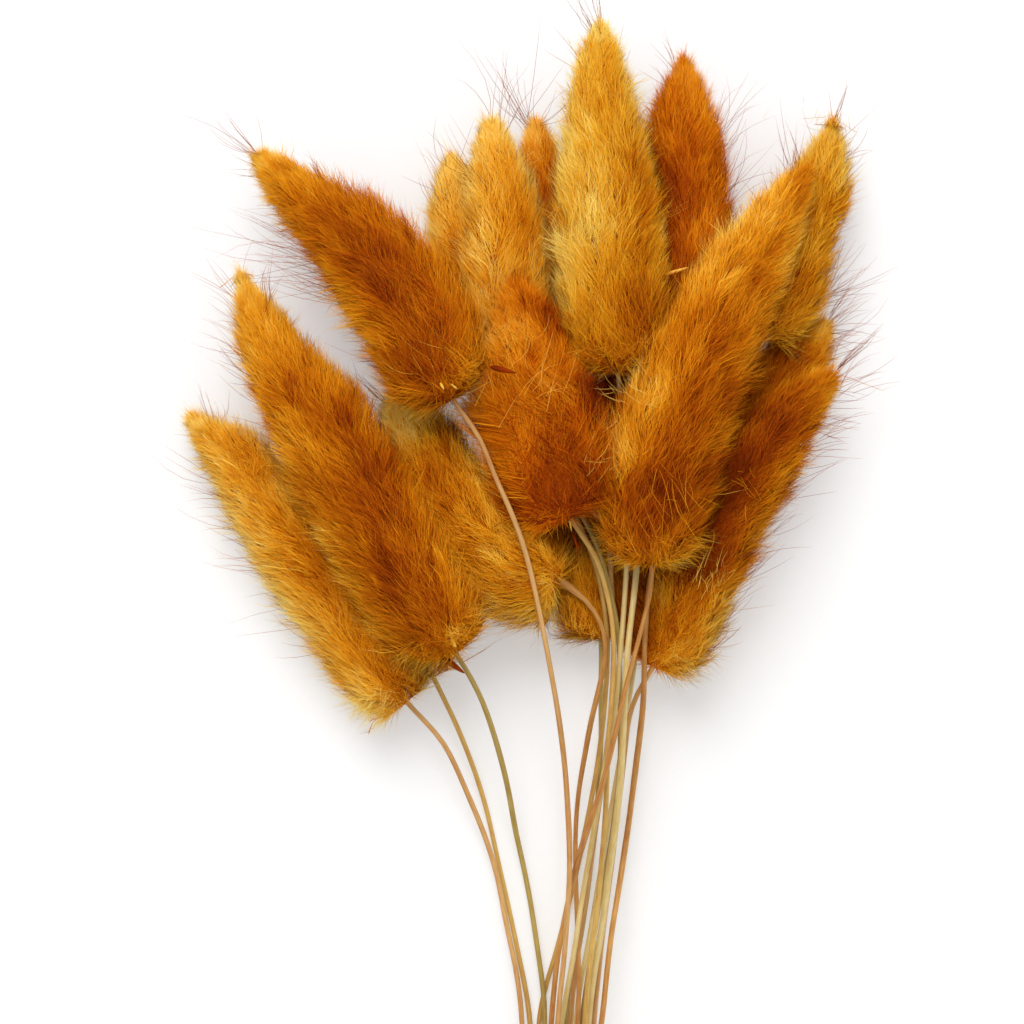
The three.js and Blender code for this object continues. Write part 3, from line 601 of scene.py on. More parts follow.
def strand_template():
    """One hair, flat and tapered, with across in X: its points, faces and places along it from 0 to 1."""
    deselect()
    bpy.ops.mesh.primitive_plane_add(size=1, location=(0, 0.5, 0))
    bpy.ops.object.mode_set(mode="EDIT")
    mesh = bmesh.from_edit_mesh(bpy.context.object.data)
    sides = [e for e in mesh.edges if abs(e.verts[0].co.y - e.verts[1].co.y) > 0.5]
    bmesh.ops.subdivide_edges(mesh, edges=sides, cuts=1)
    tip = [v for v in mesh.verts if v.co.y > 0.4]
    bmesh.ops.pointmerge(mesh, verts=tip, merge_co=Vector((0, 0.5, 0)))
    for vert in mesh.verts:
        if abs(vert.co.y) < 0.1:
            vert.co.x *= 0.82
    bmesh.update_edit_mesh(bpy.context.object.data)
    bpy.ops.mesh.select_all(action="SELECT")
    bpy.ops.mesh.quads_convert_to_tris()
    bpy.ops.object.mode_set(mode="OBJECT")
    points, faces = active_mesh()
    return points, faces, points[:, 1]


def spline(points, samples, fine=60):
    """Evenly spaced points on a smooth curve through the given ones, worked out in fine steps."""
    points = np.asarray(points, float)
    ends = np.vstack([2 * points[0] - points[1], points, 2 * points[-1] - points[-2]])
    steps = np.sqrt(np.linalg.norm(np.diff(ends, axis=0), axis=1))
    parts = []
    for k in range(1, len(ends) - 2):
        p0, p1, p2, p3 = ends[k - 1:k + 3]
        d0, d1, d2 = steps[k - 1:k + 2]
        m1 = ((p1 - p0) / d0 - (p2 - p0) / (d0 + d1) + (p2 - p1) / d1) * d1
        m2 = ((p2 - p1) / d1 - (p3 - p1) / (d1 + d2) + (p3 - p2) / d2) * d1
        t = np.linspace(0, 1, fine, endpoint=False)[:, None]
        parts.append((2 * t**3 - 3 * t**2 + 1) * p1 + (t**3 - 2 * t**2 + t) * m1
                     + (-2 * t**3 + 3 * t**2) * p2 + (t**3 - t**2) * m2)
    line = np.vstack(parts + [points[-1:]])
    way = np.concatenate([[0], np.cumsum(np.linalg.norm(np.diff(line, axis=0), axis=1))])
    even = np.linspace(0, way[-1], samples)
    return np.stack([np.interp(even, way, line[:, c]) for c in range(3)], axis=1)


def profile(share):
    """Fur radius along a head as a share of its widest."""
    share = np.clip(share, 0, 1)
    dome = np.sqrt(np.clip(1 - (1 - np.minimum(share / BASE_DOME, 1)) ** 2, 0, 1))
    taper = np.clip((share - WIDEST_AT) / (1 - WIDEST_AT), 0, 1) ** TAPER_CURVE
    return dome * (1 - taper) ** TAPER_ROUND


def closing(share):
    """How the coat's ends draw in at the tip of a head."""
    return np.clip((1.08 - share) / 0.11, 0.5, 1)


def unit(vectors):
    """Vectors scaled to a length of one."""
    return vectors / np.maximum(np.linalg.norm(vectors, axis=-1, keepdims=True), 1e-12)


class HeadForm:
    """The room of one seed head: its axis, and how far its fur reaches in each direction."""

    # AROUND and ALONG are the steps of the measured reach, which stays between FULLNESS and FULLEST of
    # the profile. TIP is how much of a hair's way past the end it keeps, and BLUNT the usual blunt in mm.
    AROUND = 36
    ALONG = 40
    LINE_POINTS = 600
    WAY_POINTS = 400
    RAY_FROM = 1.1
    FULLNESS = 0.93
    FULLEST = 1.04
    TIP_SLIM = 0.28
    TIP = 0.5
    BLUNT = 1.3
    LEAST_TOP = 0.3

    def __init__(self, name, spec):
        marks = [place(*spec["lead"], spec["axis"][0][2])] + [place(*p) for p in spec["axis"]]
        line = spline(marks, self.LINE_POINTS)
        start = int(np.argmin(np.linalg.norm(line - marks[1], axis=1)))
        fall = np.cumsum(np.linalg.norm(np.diff(line[::-1], axis=0), axis=1))
        blunt = spec.get("blunt", self.BLUNT) * MM
        self.line = line[start:-1 - int(np.searchsorted(fall, blunt))]
        self.length = float(np.linalg.norm(np.diff(self.line, axis=0), axis=1).sum())
        self.widest = spec["width"] / 2 * MM
        tangent = unit(np.gradient(self.line, axis=0))
        up = unit(np.array([0, 0, 1.0]) - tangent * tangent[:, 2:3])
        self.tangent, self.up, self.side = tangent, up, np.cross(tangent, up)
        self.reach = self._measure(name, spec.get("swells", ()))
        fine = np.linspace(0, 1, self.WAY_POINTS)
        radius = self.widest * profile(fine)
        self.way = np.concatenate([[0], np.cumsum(np.hypot(np.diff(radius),
                                                           np.diff(fine) * self.length))])
        self.way_shares, self.way_radius, self.total = fine, radius, float(self.way[-1])

    def _measure(self, name, swells):
        """The coat's reach all round: the head's profile, or its solid where that is a little further."""
        node = bpy.data.objects[name]
        points = [v.co for v in node.data.vertices]
        tree = BVHTree.FromPolygons(points, [tuple(f.vertices) for f in node.data.polygons])
        grid = np.zeros((self.ALONG, self.AROUND))
        for i, share in enumerate(np.linspace(0, 1, self.ALONG)):
            centre, up, side = (self.at(part, share) for part in (self.line, self.up, self.side))
            nominal = self.widest * float(profile(share))
            for j in range(self.AROUND):
                angle = 2 * math.pi * j / self.AROUND
                out = Vector(up * math.cos(angle) + side * math.sin(angle))
                outside = nominal * self.RAY_FROM + 1 * MM
                hit = tree.ray_cast(Vector(centre) + out * outside, -out, outside)
                far = (hit[0] - Vector(centre)).length if hit[0] else 0.0
                slim = 1 - self.TIP_SLIM * share**3
                grid[i, j] = min(max(far, nominal * self.FULLNESS), nominal * self.FULLEST) * slim
                spot = centre + np.array(out) * nominal
                for right, down, size, push in swells:
                    mark = place(right, down)
                    off = math.hypot(spot[0] - mark[0], spot[1] - mark[1]) / (size * GRID)
                    grid[i, j] += push * MM * math.exp(-off**2)
        for _ in range(2):
            grid = (np.roll(grid, 1, 1) + 2 * grid + np.roll(grid, -1, 1)) / 4
        return grid

    def share(self, way):
        """How far along the head a way over its coat is."""
        return np.interp(way, self.way, self.way_shares)

    def at(self, values, share):
        """Values along the axis, read at shares of its length."""
        spot = np.clip(share, 0, 1) * (len(values) - 1)
        low = np.minimum(np.asarray(spot).astype(int), len(values) - 2)
        part = np.asarray(spot - low)[..., None]
        return values[low] * (1 - part) + values[low + 1] * part

    def radius(self, share, angle):
        """How far the coat reaches from the axis."""
        row = np.clip(share, 0, 1) * (self.ALONG - 1)
        column = (angle / (2 * math.pi) % 1) * self.AROUND
        r0 = np.minimum(row.astype(int), self.ALONG - 2)
        c0 = column.astype(int) % self.AROUND
        c1 = (c0 + 1) % self.AROUND
        fr, fc = row - r0, column - np.floor(column)
        low = self.reach[r0, c0] * (1 - fc) + self.reach[r0, c1] * fc
        high = self.reach[r0 + 1, c0] * (1 - fc) + self.reach[r0 + 1, c1] * fc
        shape = self.widest * profile(share)
        rows = self.widest * profile(np.linspace(0, 1, self.ALONG))
        flat = rows[r0] * (1 - fr) + rows[r0 + 1] * fr
        return (low * (1 - fr) + high * fr) * shape / np.maximum(flat, 1e-6)

    def top(self, spots):
        """The height of the coat over places seen from above, kept up a little beyond its edge."""
        gap = np.linalg.norm(self.line[None, :, :2] - spots[:, None, :2], axis=2)
        near = np.argmin(gap, axis=1)
        share = near / (len(self.line) - 1)
        reach = self.radius(share, np.zeros(len(spots)))
        across = gap[np.arange(len(spots)), near]
        return self.line[near, 2] + np.sqrt(
            np.maximum(reach**2 - across**2, (self.LEAST_TOP * reach) ** 2))

    def out(self, share, angle):
        """The direction away from the axis, from an angle that is 0 straight up."""
        cos, sin = np.cos(angle)[..., None], np.sin(angle)[..., None]
        return self.at(self.up, share) * cos + self.at(self.side, share) * sin

    def point(self, way, angle, reach):
        """A point at a way over the coat from the base, an angle and a distance from the axis."""
        share = self.share(way)
        beyond = np.maximum(way - self.total, 0) * self.TIP
        out = self.out(share, angle)
        spot = self.at(self.line, share) + out * reach[..., None]
        return spot + self.at(self.tangent, share) * beyond[..., None], out

    def scatter(self, rng, number):
        """Ways over the coat, evenly spread over its area and closer at the tip."""
        grid = np.linspace(0, self.total, 300)
        weight = np.interp(grid, self.way, self.way_radius) + 0.3 * MM
        weight *= 1 + np.clip(self.share(grid) / 0.2 - 4, 0, 1)
        spread = np.cumsum(weight) / weight.sum()
        return np.interp(rng.random(number), spread, grid)


def near_turn(angle):
    """The same angle, within half a turn of 0."""
    return (angle + math.pi) % (2 * math.pi) - math.pi


class Tufts:
    """Centres that the hairs of a head gather to, each with its own lean, lift and tone."""

    SWIRL = 0.13
    LIFT = 1.5
    TONE_SPAN = 1.6
    STRETCH = (0.85, 1.15)
    BATCH = 4000

    def __init__(self, form, settings, wild, rng):
        area = 2 * math.pi * float(np.trapz(form.way_radius, form.way))
        count = max(int(area / settings.tuft ** 2), 12)
        self.form = form
        self.way = form.scatter(rng, count)
        self.angle = rng.uniform(0, 2 * math.pi, count)
        self.swirl = rng.normal(0, self.SWIRL * wild, count)
        self.lift = self.LIFT * rng.random(count) ** 2 * wild**0.4
        self.tone = np.clip(rng.normal(0, 1, count), -self.TONE_SPAN, self.TONE_SPAN)
        self.stretch = rng.uniform(*self.STRETCH, count)

    def nearest(self, way, angle):
        """The tuft that each hair is nearest to."""
        found = np.empty(len(way), int)
        radius = np.maximum(np.interp(way, self.form.way, self.form.way_radius), 1 * MM)
        for start in range(0, len(way), self.BATCH):
            part = slice(start, start + self.BATCH)
            across = near_turn(angle[part, None] - self.angle[None]) * radius[part, None]
            found[part] = np.argmin(across**2 + (way[part, None] - self.way[None]) ** 2, axis=1)
        return found


class StemsOver:
    """The stems that lie over other heads and press their fur down."""

    # A stem clears the fur by CLEAR and spreads it by GROOVE. It counts where it runs beside the axis by
    # at most BESIDE of the head's radius and is ABOVE it. Where no stem lies, the fur is OPEN.
    CLEAR = 0.25 * MM
    GROOVE = 1.6 * MM
    BESIDE = 1.2
    ABOVE = 0.5 * MM
    LAYER = 0.5 * MM
    OPEN = 1.0

    def __init__(self, step):
        self.lines = {name: stem_line("stem_" + name, step) for name in STEM_STRAW}

    def over(self, name, form, clears):
        """The stems that pass above a head's middle or are named, ready to press its fur."""
        self.near = []
        for other, line in self.lines.items():
            if other == name:
                continue
            gap = np.linalg.norm(line[:, None, :2] - form.line[None, ::8, :2], axis=2)
            middle = form.line[::8][np.argmin(gap, axis=1)]
            above = (gap.min(axis=1) < form.widest * self.BESIDE) & (
                (line[:, 2] > middle[:, 2] + self.ABOVE) | (other in clears))
            if above.any():
                part = line[above]
                slope = np.gradient(part[:, 0], part[:, 1]) if len(part) > 2 else np.zeros(len(part))
                self.near.append((part, 1 / np.sqrt(1 + slope**2)))
        return self

    def roof(self, points):
        """How high the fur may reach at each point without coming up through a stem."""
        roof = np.full(len(points), self.OPEN)
        for line, lean in self.near:
            x, z, radius, cos = (np.interp(points[:, 1], line[:, 1], v)
                                 for v in (line[:, 0], line[:, 2], line[:, 3], lean))
            beyond = np.maximum(np.maximum(line[0, 1] - points[:, 1], points[:, 1] - line[-1, 1]), 0)
            away = np.hypot(np.abs(points[:, 0] - x) * cos, beyond)
            roof = np.minimum(roof, z - radius - self.CLEAR + np.maximum(away - self.GROOVE, 0))
        return roof

    def press(self, spots, rng):
        """Hairs laid down to pass under every stem that lies on them."""
        flat = spots.reshape(-1, 3).copy()
        layer = np.repeat(rng.uniform(0, self.LAYER, len(spots)), spots.shape[1])
        flat[:, 2] = np.minimum(flat[:, 2], self.roof(flat) - layer)
        return flat.reshape(spots.shape)


class Drift:
    """Soft blotches over a head that vary the tone and the lie of its fur."""

    def __init__(self, form, rng, count, size):
        way = form.scatter(rng, count)
        angle = rng.uniform(0, 2 * math.pi, count)
        share = form.share(way)
        self.centre = form.point(way, angle, form.radius(share, angle))[0]
        self.axis = form.at(form.tangent, share)
        self.size = size * rng.uniform(0.6, 1.3, count)
        self.tone = rng.normal(0, 1, count)
        self.lean = rng.normal(0, 1, count)

    def at(self, spots, values):
        """The blotches' values summed at each spot."""
        total = np.zeros(len(spots))
        for centre, axis, size, value in zip(self.centre, self.axis, self.size, values):
            off = spots - centre
            along = off @ axis
            across = (off**2).sum(axis=1) - along**2
            total += value * np.exp(-(across + (along / 2.5) ** 2) / size**2)
        return total


def tone_of(spec, drift, spots, out, share, base):
    """The hairs' tones: blotchy, painted paler at the sides as light and deeper on top as shade,
    with the head's patches laid in.
    """
    ends = spots[:, -1]
    tone = spec["shade"] + base + BLOTCH_TONE * drift.at(ends, drift.tone)
    # Painted light and shade: hairs on the head's sides are painted paler as if lit through, hairs on top
    # deeper.
    tone = tone + SIDE_PAINTED_LIGHT * (SIDE_LIGHT_LEVEL - np.abs(out[:, -1, 2])) + TIP_TONE * np.clip(share * 3 - 2, 0, 1)
    # The patches lay in the fur's own tone, painted shade in gaps and painted light on shaded fur.
    for right, down, size, amount in spec.get("tone_and_lighting_patches", ()):
        centre = place(right, down)
        off = np.hypot(ends[:, 0] - centre[0], ends[:, 1] - centre[1]) / (size * GRID)
        tone = tone + amount * np.exp(-off**2)
    return np.clip(tone, *TONE_LIMITS)


def between(first, last, t):
    """Values that run from the first ones to the last ones, at each t."""
    return first[:, None] + (last - first)[:, None] * t


def bowed(first, last, bow, t):
    """Values that run from the first ones to the last ones and are at the bow's share halfway."""
    middle = first + (last - first) * bow
    return (first[:, None] * (1 - t) * (1 - 2 * t) + 4 * middle[:, None] * t * (1 - t)
            + last[:, None] * t * (2 * t - 1))


def faced(points, faces, normals):
    """Faces turned so that each one faces the way its normals do."""
    p = points[faces]
    flat = np.cross(p[:, 1] - p[:, 0], p[:, 2] - p[:, 0])
    wrong = (flat * normals[faces].sum(axis=1)).sum(axis=1) < 0
    faces[wrong] = faces[wrong][:, ::-1]
    return faces


def finished(points, faces, normals, uv):
    """The lists that build_mesh takes, from many copies of one small mesh, kept above the table."""
    index = faces[None] + (np.arange(len(points)) * points[0].size // 3)[:, None, None]
    points = points.reshape(-1, 3).copy()
    normals = normals.reshape(-1, 3)
    points[:, 2] = np.maximum(points[:, 2], TABLE_GAP)
    return points, faced(points, index.reshape(-1, 3), normals), normals, uv.reshape(-1, 2)


def ribbons(template, spots, out, wide, twist, tone):
    """Flat hairs along their middle points, with normals that face away from the head."""
    shape, faces, along = template
    run = unit(spots[:, -1:] - spots[:, :1])
    across = unit(np.cross(run, out))
    cos, sin = np.cos(twist)[:, None, None], np.sin(twist)[:, None, None]
    across = unit(across * cos + np.cross(run, across) * sin)
    points = spots + across * (shape[:, 0][None, :] * wide[:, None])[..., None]
    flat = np.cross(across, run)
    flat = flat * np.sign((flat * out).sum(axis=-1, keepdims=True) + 1e-9)
    normals = unit(out + NORMAL_RUN * run + NORMAL_FLAT * flat + np.array([0, 0, NORMAL_UP]))
    u = tone[:, None] + np.sign(shape[:, 0])[None, :] * UV_WIDTH
    uv = np.stack([u, np.repeat(along[None, :], len(tone), 0)], axis=-1)
    return finished(points, faces, normals, uv)


def coat(form, spec, settings, tufts, drift, stems, rng, count, template):
    """The long hairs of one head, lying forward over each other from base to tip."""
    t = template[2]
    way = form.scatter(rng, count)
    angle = rng.uniform(0, 2 * math.pi, count)
    tuft = tufts.nearest(way, angle)
    share = form.share(way)
    long = settings.length * rng.uniform(*COAT_LENGTHS, count) * (1.05 - 0.35 * share)
    long = long * min(1.0, form.widest / FULL_LENGTH_AT) ** 0.5 * tufts.stretch[tuft]
    pull = settings.clump * rng.uniform(*COAT_PULL, count)
    aim = near_turn(tufts.angle[tuft] - angle)
    loose = rng.random(count) ** 4
    long = long * (1 + 0.9 * loose * np.clip(share * 4 - 3, 0, 1))
    full = form.radius(share, angle)
    start = full * rng.uniform(*COAT_ROOTS, count)
    roots = form.point(way, angle, full)[0]
    flare = rng.random(count) ** 2.2 * np.clip(0.4 + tufts.lift[tuft], 0.4, 1.4)
    long = long * (1 - 0.35 * np.minimum(flare, 1))
    lean = (COAT_BLOTCH_LEAN * drift.at(roots, drift.lean) + tufts.swirl[tuft]
            + rng.normal(0, COAT_LEAN, count))
    end_way = way + long + (tufts.way[tuft] - way) * pull * 0.7
    end_angle = angle + aim * pull + lean * np.clip(1.1 - share, 0.3, 1)
    end_share = form.share(end_way)
    free = np.clip(0.1 + 0.6 * tufts.lift[tuft] * pull / settings.clump
                   + rng.normal(0, 0.22, count) + loose, -0.3, 2.2)
    end = form.radius(end_share, end_angle) * rng.uniform(*COAT_ENDS, count) + settings.fringe * free
    close = closing(end_share)
    end = np.maximum(end, full * rng.uniform(0.35, 0.95, count)) * close + settings.flare * flare * close
    bow = 0.62 + 0.1 * rng.random(count)
    spots, out = form.point(between(way, end_way, t), between(angle, end_angle, t**1.3),
                            bowed(start, end, bow, t))
    wave = rng.normal(0, COAT_WAVE, (count, 3)) * (1 + 2 * loose)[:, None]
    bend = rng.normal(0, COAT_BEND, (count, 3))
    spots = (spots + wave[:, None] * (t**2)[None, :, None]
             + bend[:, None] * (4 * t * (1 - t))[None, :, None])
    spots = stems.press(spots, rng)
    wide = settings.width * rng.uniform(*COAT_WIDTHS, count) * (1 - 0.35 * loose)
    twist = rng.uniform(-TWIST, TWIST, count)
    # Painted light: loose hairs and hairs that flare off the coat are painted paler, as if lit through.
    base = (0.085 * tufts.tone[tuft] + rng.normal(0, 0.045, count) + 0.08 * free + 0.12 * flare - 0.1
            + 0.2 * (rng.random(count) < PALE_HAIRS))
    return ribbons(template, spots, out, wide, twist, tone_of(spec, drift, spots, out, share, base))


def locks(form, spec, settings, drift, stems, rng, template):
    """Pointed locks that stand out along the sides of a head and make its edge ragged."""
    t = template[2]
    number = max(int(form.length / MM * settings.locks), 1)
    root_way = rng.uniform(*LOCK_ALONG, number) * form.total
    root_angle = rng.choice([-1, 1], number) * rng.normal(*LOCK_SIDE, number)
    size = rng.uniform(*LOCK_SIZES, number)
    pick = np.repeat(np.arange(number), settings.lock_hairs)
    count = len(pick)
    big = size[pick]
    way = root_way[pick] + rng.normal(0, 1.0 * MM, count) * big
    share = form.share(way)
    full = form.radius(share, root_angle[pick])
    angle = root_angle[pick] + rng.normal(0, 0.9 * MM, count) * big / np.maximum(full, 2 * MM)
    ahead = (rng.uniform(*LOCK_AHEAD, number) * MM * size)[pick] * rng.uniform(0.75, 1.05, count)
    stand = (rng.uniform(*LOCK_STAND, number) * MM * size)[pick] * rng.uniform(0.6, 1.1, count)
    end_way = root_way[pick] + ahead + (way - root_way[pick]) * 0.3
    turn = rng.normal(0, 0.14, number)[pick]
    end_angle = root_angle[pick] + turn + (angle - root_angle[pick]) * 0.25
    start = full * rng.uniform(0.6, 0.85, count)
    end_share = form.share(end_way)
    end = form.radius(end_share, end_angle) * closing(end_share) + stand
    spots, out = form.point(between(way, end_way, t), between(angle, end_angle, t),
                            bowed(start, end, LOCK_BOW, t))
    spots = spots + rng.normal(0, 0.14 * MM, (count, 3))[:, None] * (t**2)[None, :, None]
    spots = stems.press(spots, rng)
    wide = settings.width * rng.uniform(0.7, 1.1, count)
    twist = rng.uniform(-TWIST, TWIST, count)
    base = rng.normal(0.04, 0.07, number)[pick] + rng.normal(0, 0.04, count)
    return ribbons(template, spots, out, wide, twist, tone_of(spec, drift, spots, out, share, base))


def underfur(form, spec, settings, tufts, drift, stems, rng, count):
    """Short straight hairs, one thin triangle each, that fill the coat and soften its edge."""
    way = form.scatter(rng, count)
    angle = rng.uniform(0, 2 * math.pi, count)
    tuft = tufts.nearest(way, angle)
    share = form.share(way)
    full = form.radius(share, angle)
    long = settings.down_length * rng.uniform(0.5, 1.3, count) * (1.05 - 0.4 * share)
    start, out = form.point(way, angle, full * rng.uniform(0.7, 0.98, count))
    ahead = form.at(form.tangent, share)
    lean = np.interp(share, *DOWN_SLOPE) * rng.uniform(0.4, 1.5, count)
    skirt = (share < SKIRT_END) & (rng.random(count) < SKIRT_SHARE)
    forward = np.where(skirt, rng.uniform(-0.7, 0.4, count), 1.0)
    long = long * (1 + 0.3 * skirt)
    beside = np.cross(ahead, out)
    sway = tufts.swirl[tuft] * 2 + 0.2 * drift.at(start, drift.lean) + rng.normal(0, 0.3, count)
    aim = unit(ahead * forward[:, None] + out * lean[:, None] + beside * sway[:, None])
    spots = stems.press(np.stack([start, start, start + aim * long[:, None]], axis=1), rng)
    out = np.repeat(out[:, None], 3, axis=1)
    wide = settings.width * DOWN_WIDTH * rng.uniform(0.7, 1.2, count)
    twist = rng.uniform(-TWIST, TWIST, count)
    base = 0.05 * tufts.tone[tuft] + rng.normal(0, 0.06, count) + 0.05 + 0.12 * skirt
    return ribbons(DOWN_HAIR, spots, out, wide, twist, tone_of(spec, drift, spots, out, share, base))


def scattered_awns(form, settings, rng):
    """A few long awns all over a head: their starts, ends and tones."""
    count = settings.bristles
    way = rng.uniform(0.05, 0.98, count) * form.total
    share = form.share(way)
    angle = rng.uniform(0, 2 * math.pi, count)
    start, out = form.point(way, angle, form.radius(share, angle) * 0.7)
    lean = rng.uniform(0.1, 0.6, count)[:, None]
    aim = unit(out * lean + form.at(form.tangent, share) * (1.1 - lean) + rng.normal(0, 0.1, (count, 3)))
    end = start + aim * (settings.bristle_length * rng.uniform(0.4, 1.0, count))[:, None]
    return start, end, rng.normal(0.2, 0.1, count)


def edge_awns(form, rng, right, down, to_right, to_down, number, long):
    """A fringe of dark awns along an edge, in bunches: their starts, ends and tones."""
    bunches = rng.random(max(number // 5, 1))
    spread = np.clip(rng.choice(bunches, number) + rng.normal(0, 0.05, number), 0, 1)
    edge = place(right, down) + (place(to_right, to_down) - place(right, down)) * spread[:, None]
    near = np.argmin(np.linalg.norm(form.line[None, :, :2] - edge[:, None, :2], axis=2), axis=1)
    axis, ahead = form.line[near], form.tangent[near]
    away = (edge - axis) * [1, 1, 0]
    root = axis + away * rng.uniform(0.5, 0.95, number)[:, None]
    root[:, 2] += rng.normal(0, 2 * MM, number)
    aim = unit(ahead * rng.uniform(0.8, 3.0, number)[:, None] + unit(away + 1e-9)
               + rng.normal(0, 0.25, (number, 3)))
    return root, root + aim * (long * MM * rng.uniform(0.7, 1.8, number))[:, None], \
        rng.normal(0.1, 0.07, number)


def loose_straws(form, rng, right, down, size, to_right, to_down, number, tone):
    """Bristles lying on the fur round a place: their starts, ends and tones."""
    start = place(right, down) + rng.normal(0, 0.5, (number, 3)) * [size * GRID, size * GRID, 0]
    start[:, 2] = form.top(start) - STRAW_SUNK
    aim = place(to_right, to_down) - place(right, down)
    run = (aim * rng.uniform(0.5, 1.2, number)[:, None]
           + rng.normal(0, 0.3, (number, 3)) * np.linalg.norm(aim) * [1, 1, 0.25])
    return start, start + run + np.array([0, 0, STRAW_RISE]), rng.normal(tone, 0.08, number)


def bristles(form, spec, settings, rng):
    """Awns: a few scattered over the head, dark fringes along its edges, loose bristles on its fur, and
    dark bristles that fill a shaded gap as painted shade.
    """
    groups = [scattered_awns(form, settings, rng)]
    groups += [edge_awns(form, rng, *row) for row in spec.get("awns", ())]
    groups += [loose_straws(form, rng, *row) for row in spec.get("straws_and_shade_fill", ())]
    starts, ends, tones = zip(*groups)
    return needles(np.vstack(starts), np.vstack(ends), np.clip(np.concatenate(tones), 0.02, 0.98), rng)


def husks_and_shade_fill(form, spec):
    """Seed husk shells caught in the fur, and dark shells that fill a shaded gap as painted shade: slim and
    pointed, each from a ball drawn out along its length.
    """
    shell, faces = ball(10, 9)
    made = []
    for right, down, to_right, to_down, wide, tone in spec.get("husks_and_shade_fill", ()):
        start, end = place(right, down), place(to_right, to_down)
        middle = (start + end) / 2
        middle[2] = form.top(middle[None])[0] + HUSK_RISE
        run = unit(end - start)
        side = np.cross([0, 0, 1.0], run)
        half = np.linalg.norm(end - start) / 2
        thin = wide / 2 * MM * (1 - 0.45 * shell[:, 2:3])
        points = middle + run * shell[:, 2:3] * half + side * shell[:, :1] * thin
        points = points + np.array([0, 0, 1.0]) * shell[:, 1:2] * thin * 0.6
        out = unit(points - middle - run * shell[:, 2:3] * half * 0.9)
        uv = np.stack([np.clip(tone + 0.02 * shell[:, 0], 0.01, 0.99), 0.75 + 0.2 * shell[:, 2]], axis=1)
        made.append((points, faced(points, faces.copy(), out), out, uv))
    return made


def needles(start, end, tone, rng):
    """Thin three-sided needles that bend a little, from start to end."""
    count = len(start)
    aim = unit(end - start)
    long = np.linalg.norm(end - start, axis=1)
    curl = (unit(rng.normal(0, 1, (count, 3)) * [1, 1, 0.4])
            * (rng.uniform(0.01, 0.17, count) * long)[:, None])
    steps = np.linspace(0, 1, len(NEEDLE_RADII))
    spot = (start[:, None] + (end - start)[:, None] * steps[None, :, None]
            + curl[:, None] * (4 * steps * (1 - steps))[None, :, None])
    side = unit(np.cross(aim, [0.3, 0.2, 1.0]))
    other = np.cross(aim, side)
    rings, aways = [], []
    for k in range(NEEDLE_SIDES):
        turn = 2 * math.pi * k / NEEDLE_SIDES
        away = side * math.cos(turn) + other * math.sin(turn)
        rings.append(spot + away[:, None] * NEEDLE_RADII[None, :, None])
        aways.append(np.repeat(away[:, None], len(steps), 1))
    faces = []
    for s in range(0, (len(steps) - 1) * NEEDLE_SIDES, NEEDLE_SIDES):
        for k in range(NEEDLE_SIDES):
            n = (k + 1) % NEEDLE_SIDES
            a, b, c, d = s + k, s + n, s + NEEDLE_SIDES + n, s + NEEDLE_SIDES + k
            faces += [(a, b, c), (a, c, d)]
    across = np.tile(np.arange(NEEDLE_SIDES) - 1, len(steps))
    along = np.repeat(0.6 + 0.4 * steps, NEEDLE_SIDES)
    uv = np.stack([tone[:, None] + across[None] * UV_WIDTH, np.repeat(along[None], count, 0)], axis=-1)
    return finished(np.stack(rings, axis=2), np.array(faces), np.stack(aways, axis=2), uv)


def core(form, stems, rng):
    """A dark mass under the hairs, painted dark as the shade deep in the coat: a ball drawn out along the
    head.
    """
    shell, faces = ball(24, 22)
    fall = np.arccos(np.clip(shell[:, 2], -1, 1)) / math.pi
    share = 0.03 + 0.94 * fall
    angle = np.arctan2(shell[:, 1], shell[:, 0])
    out = form.out(share, angle)
    poles = np.hypot(shell[:, 0], shell[:, 1]) > 1e-4
    reach = form.radius(share, angle) * rng.uniform(*CORE_REACH, len(shell)) * poles
    points = form.at(form.line, share) + out * reach[:, None]
    points[:, 2] = np.maximum(np.minimum(points[:, 2], stems.roof(points) - CORE_SUNK), CORE_LOWEST)
    # Painted shade: the core takes the same deep tones under every head, as the shade deep in the coat.
    uv = np.stack([0.2 + 0.1 * (angle / (2 * math.pi) + 0.5), 0.5 + 0.3 * share], axis=1)
    return points, faced(points, faces, out), out, uv


def build_mesh(name, parts):
    """One mesh object from several lists of points, faces, normals and UVs."""
    offset, lists = 0, []
    for points, faces, normals, uv in parts:
        lists.append((points, faces + offset, normals, uv))
        offset += len(points)
    points, faces, normals, uvs = (np.vstack(group) for group in zip(*lists))
    mesh = bpy.data.meshes.new(name)
    mesh.vertices.add(len(points))
    mesh.vertices.foreach_set("co", points.astype(np.float32).ravel())
    mesh.loops.add(faces.size)
    mesh.loops.foreach_set("vertex_index", faces.astype(np.int32).ravel())
    mesh.polygons.add(len(faces))
    mesh.polygons.foreach_set("loop_start", np.arange(0, faces.size, 3, dtype=np.int32))
    mesh.polygons.foreach_set("use_smooth", np.ones(len(faces), bool))
    mesh.update(calc_edges=True)
    for layer_name in ("hair", "OFBake"):
        layer = mesh.uv_layers.new(name=layer_name)
        layer.data.foreach_set("uv", uvs[faces.ravel()].astype(np.float32).ravel())
    mesh.normals_split_custom_set_from_vertices(normals.astype(np.float32))
    made = bpy.data.objects.new(name, mesh)
    bpy.context.scene.collection.objects.link(made)
    return made


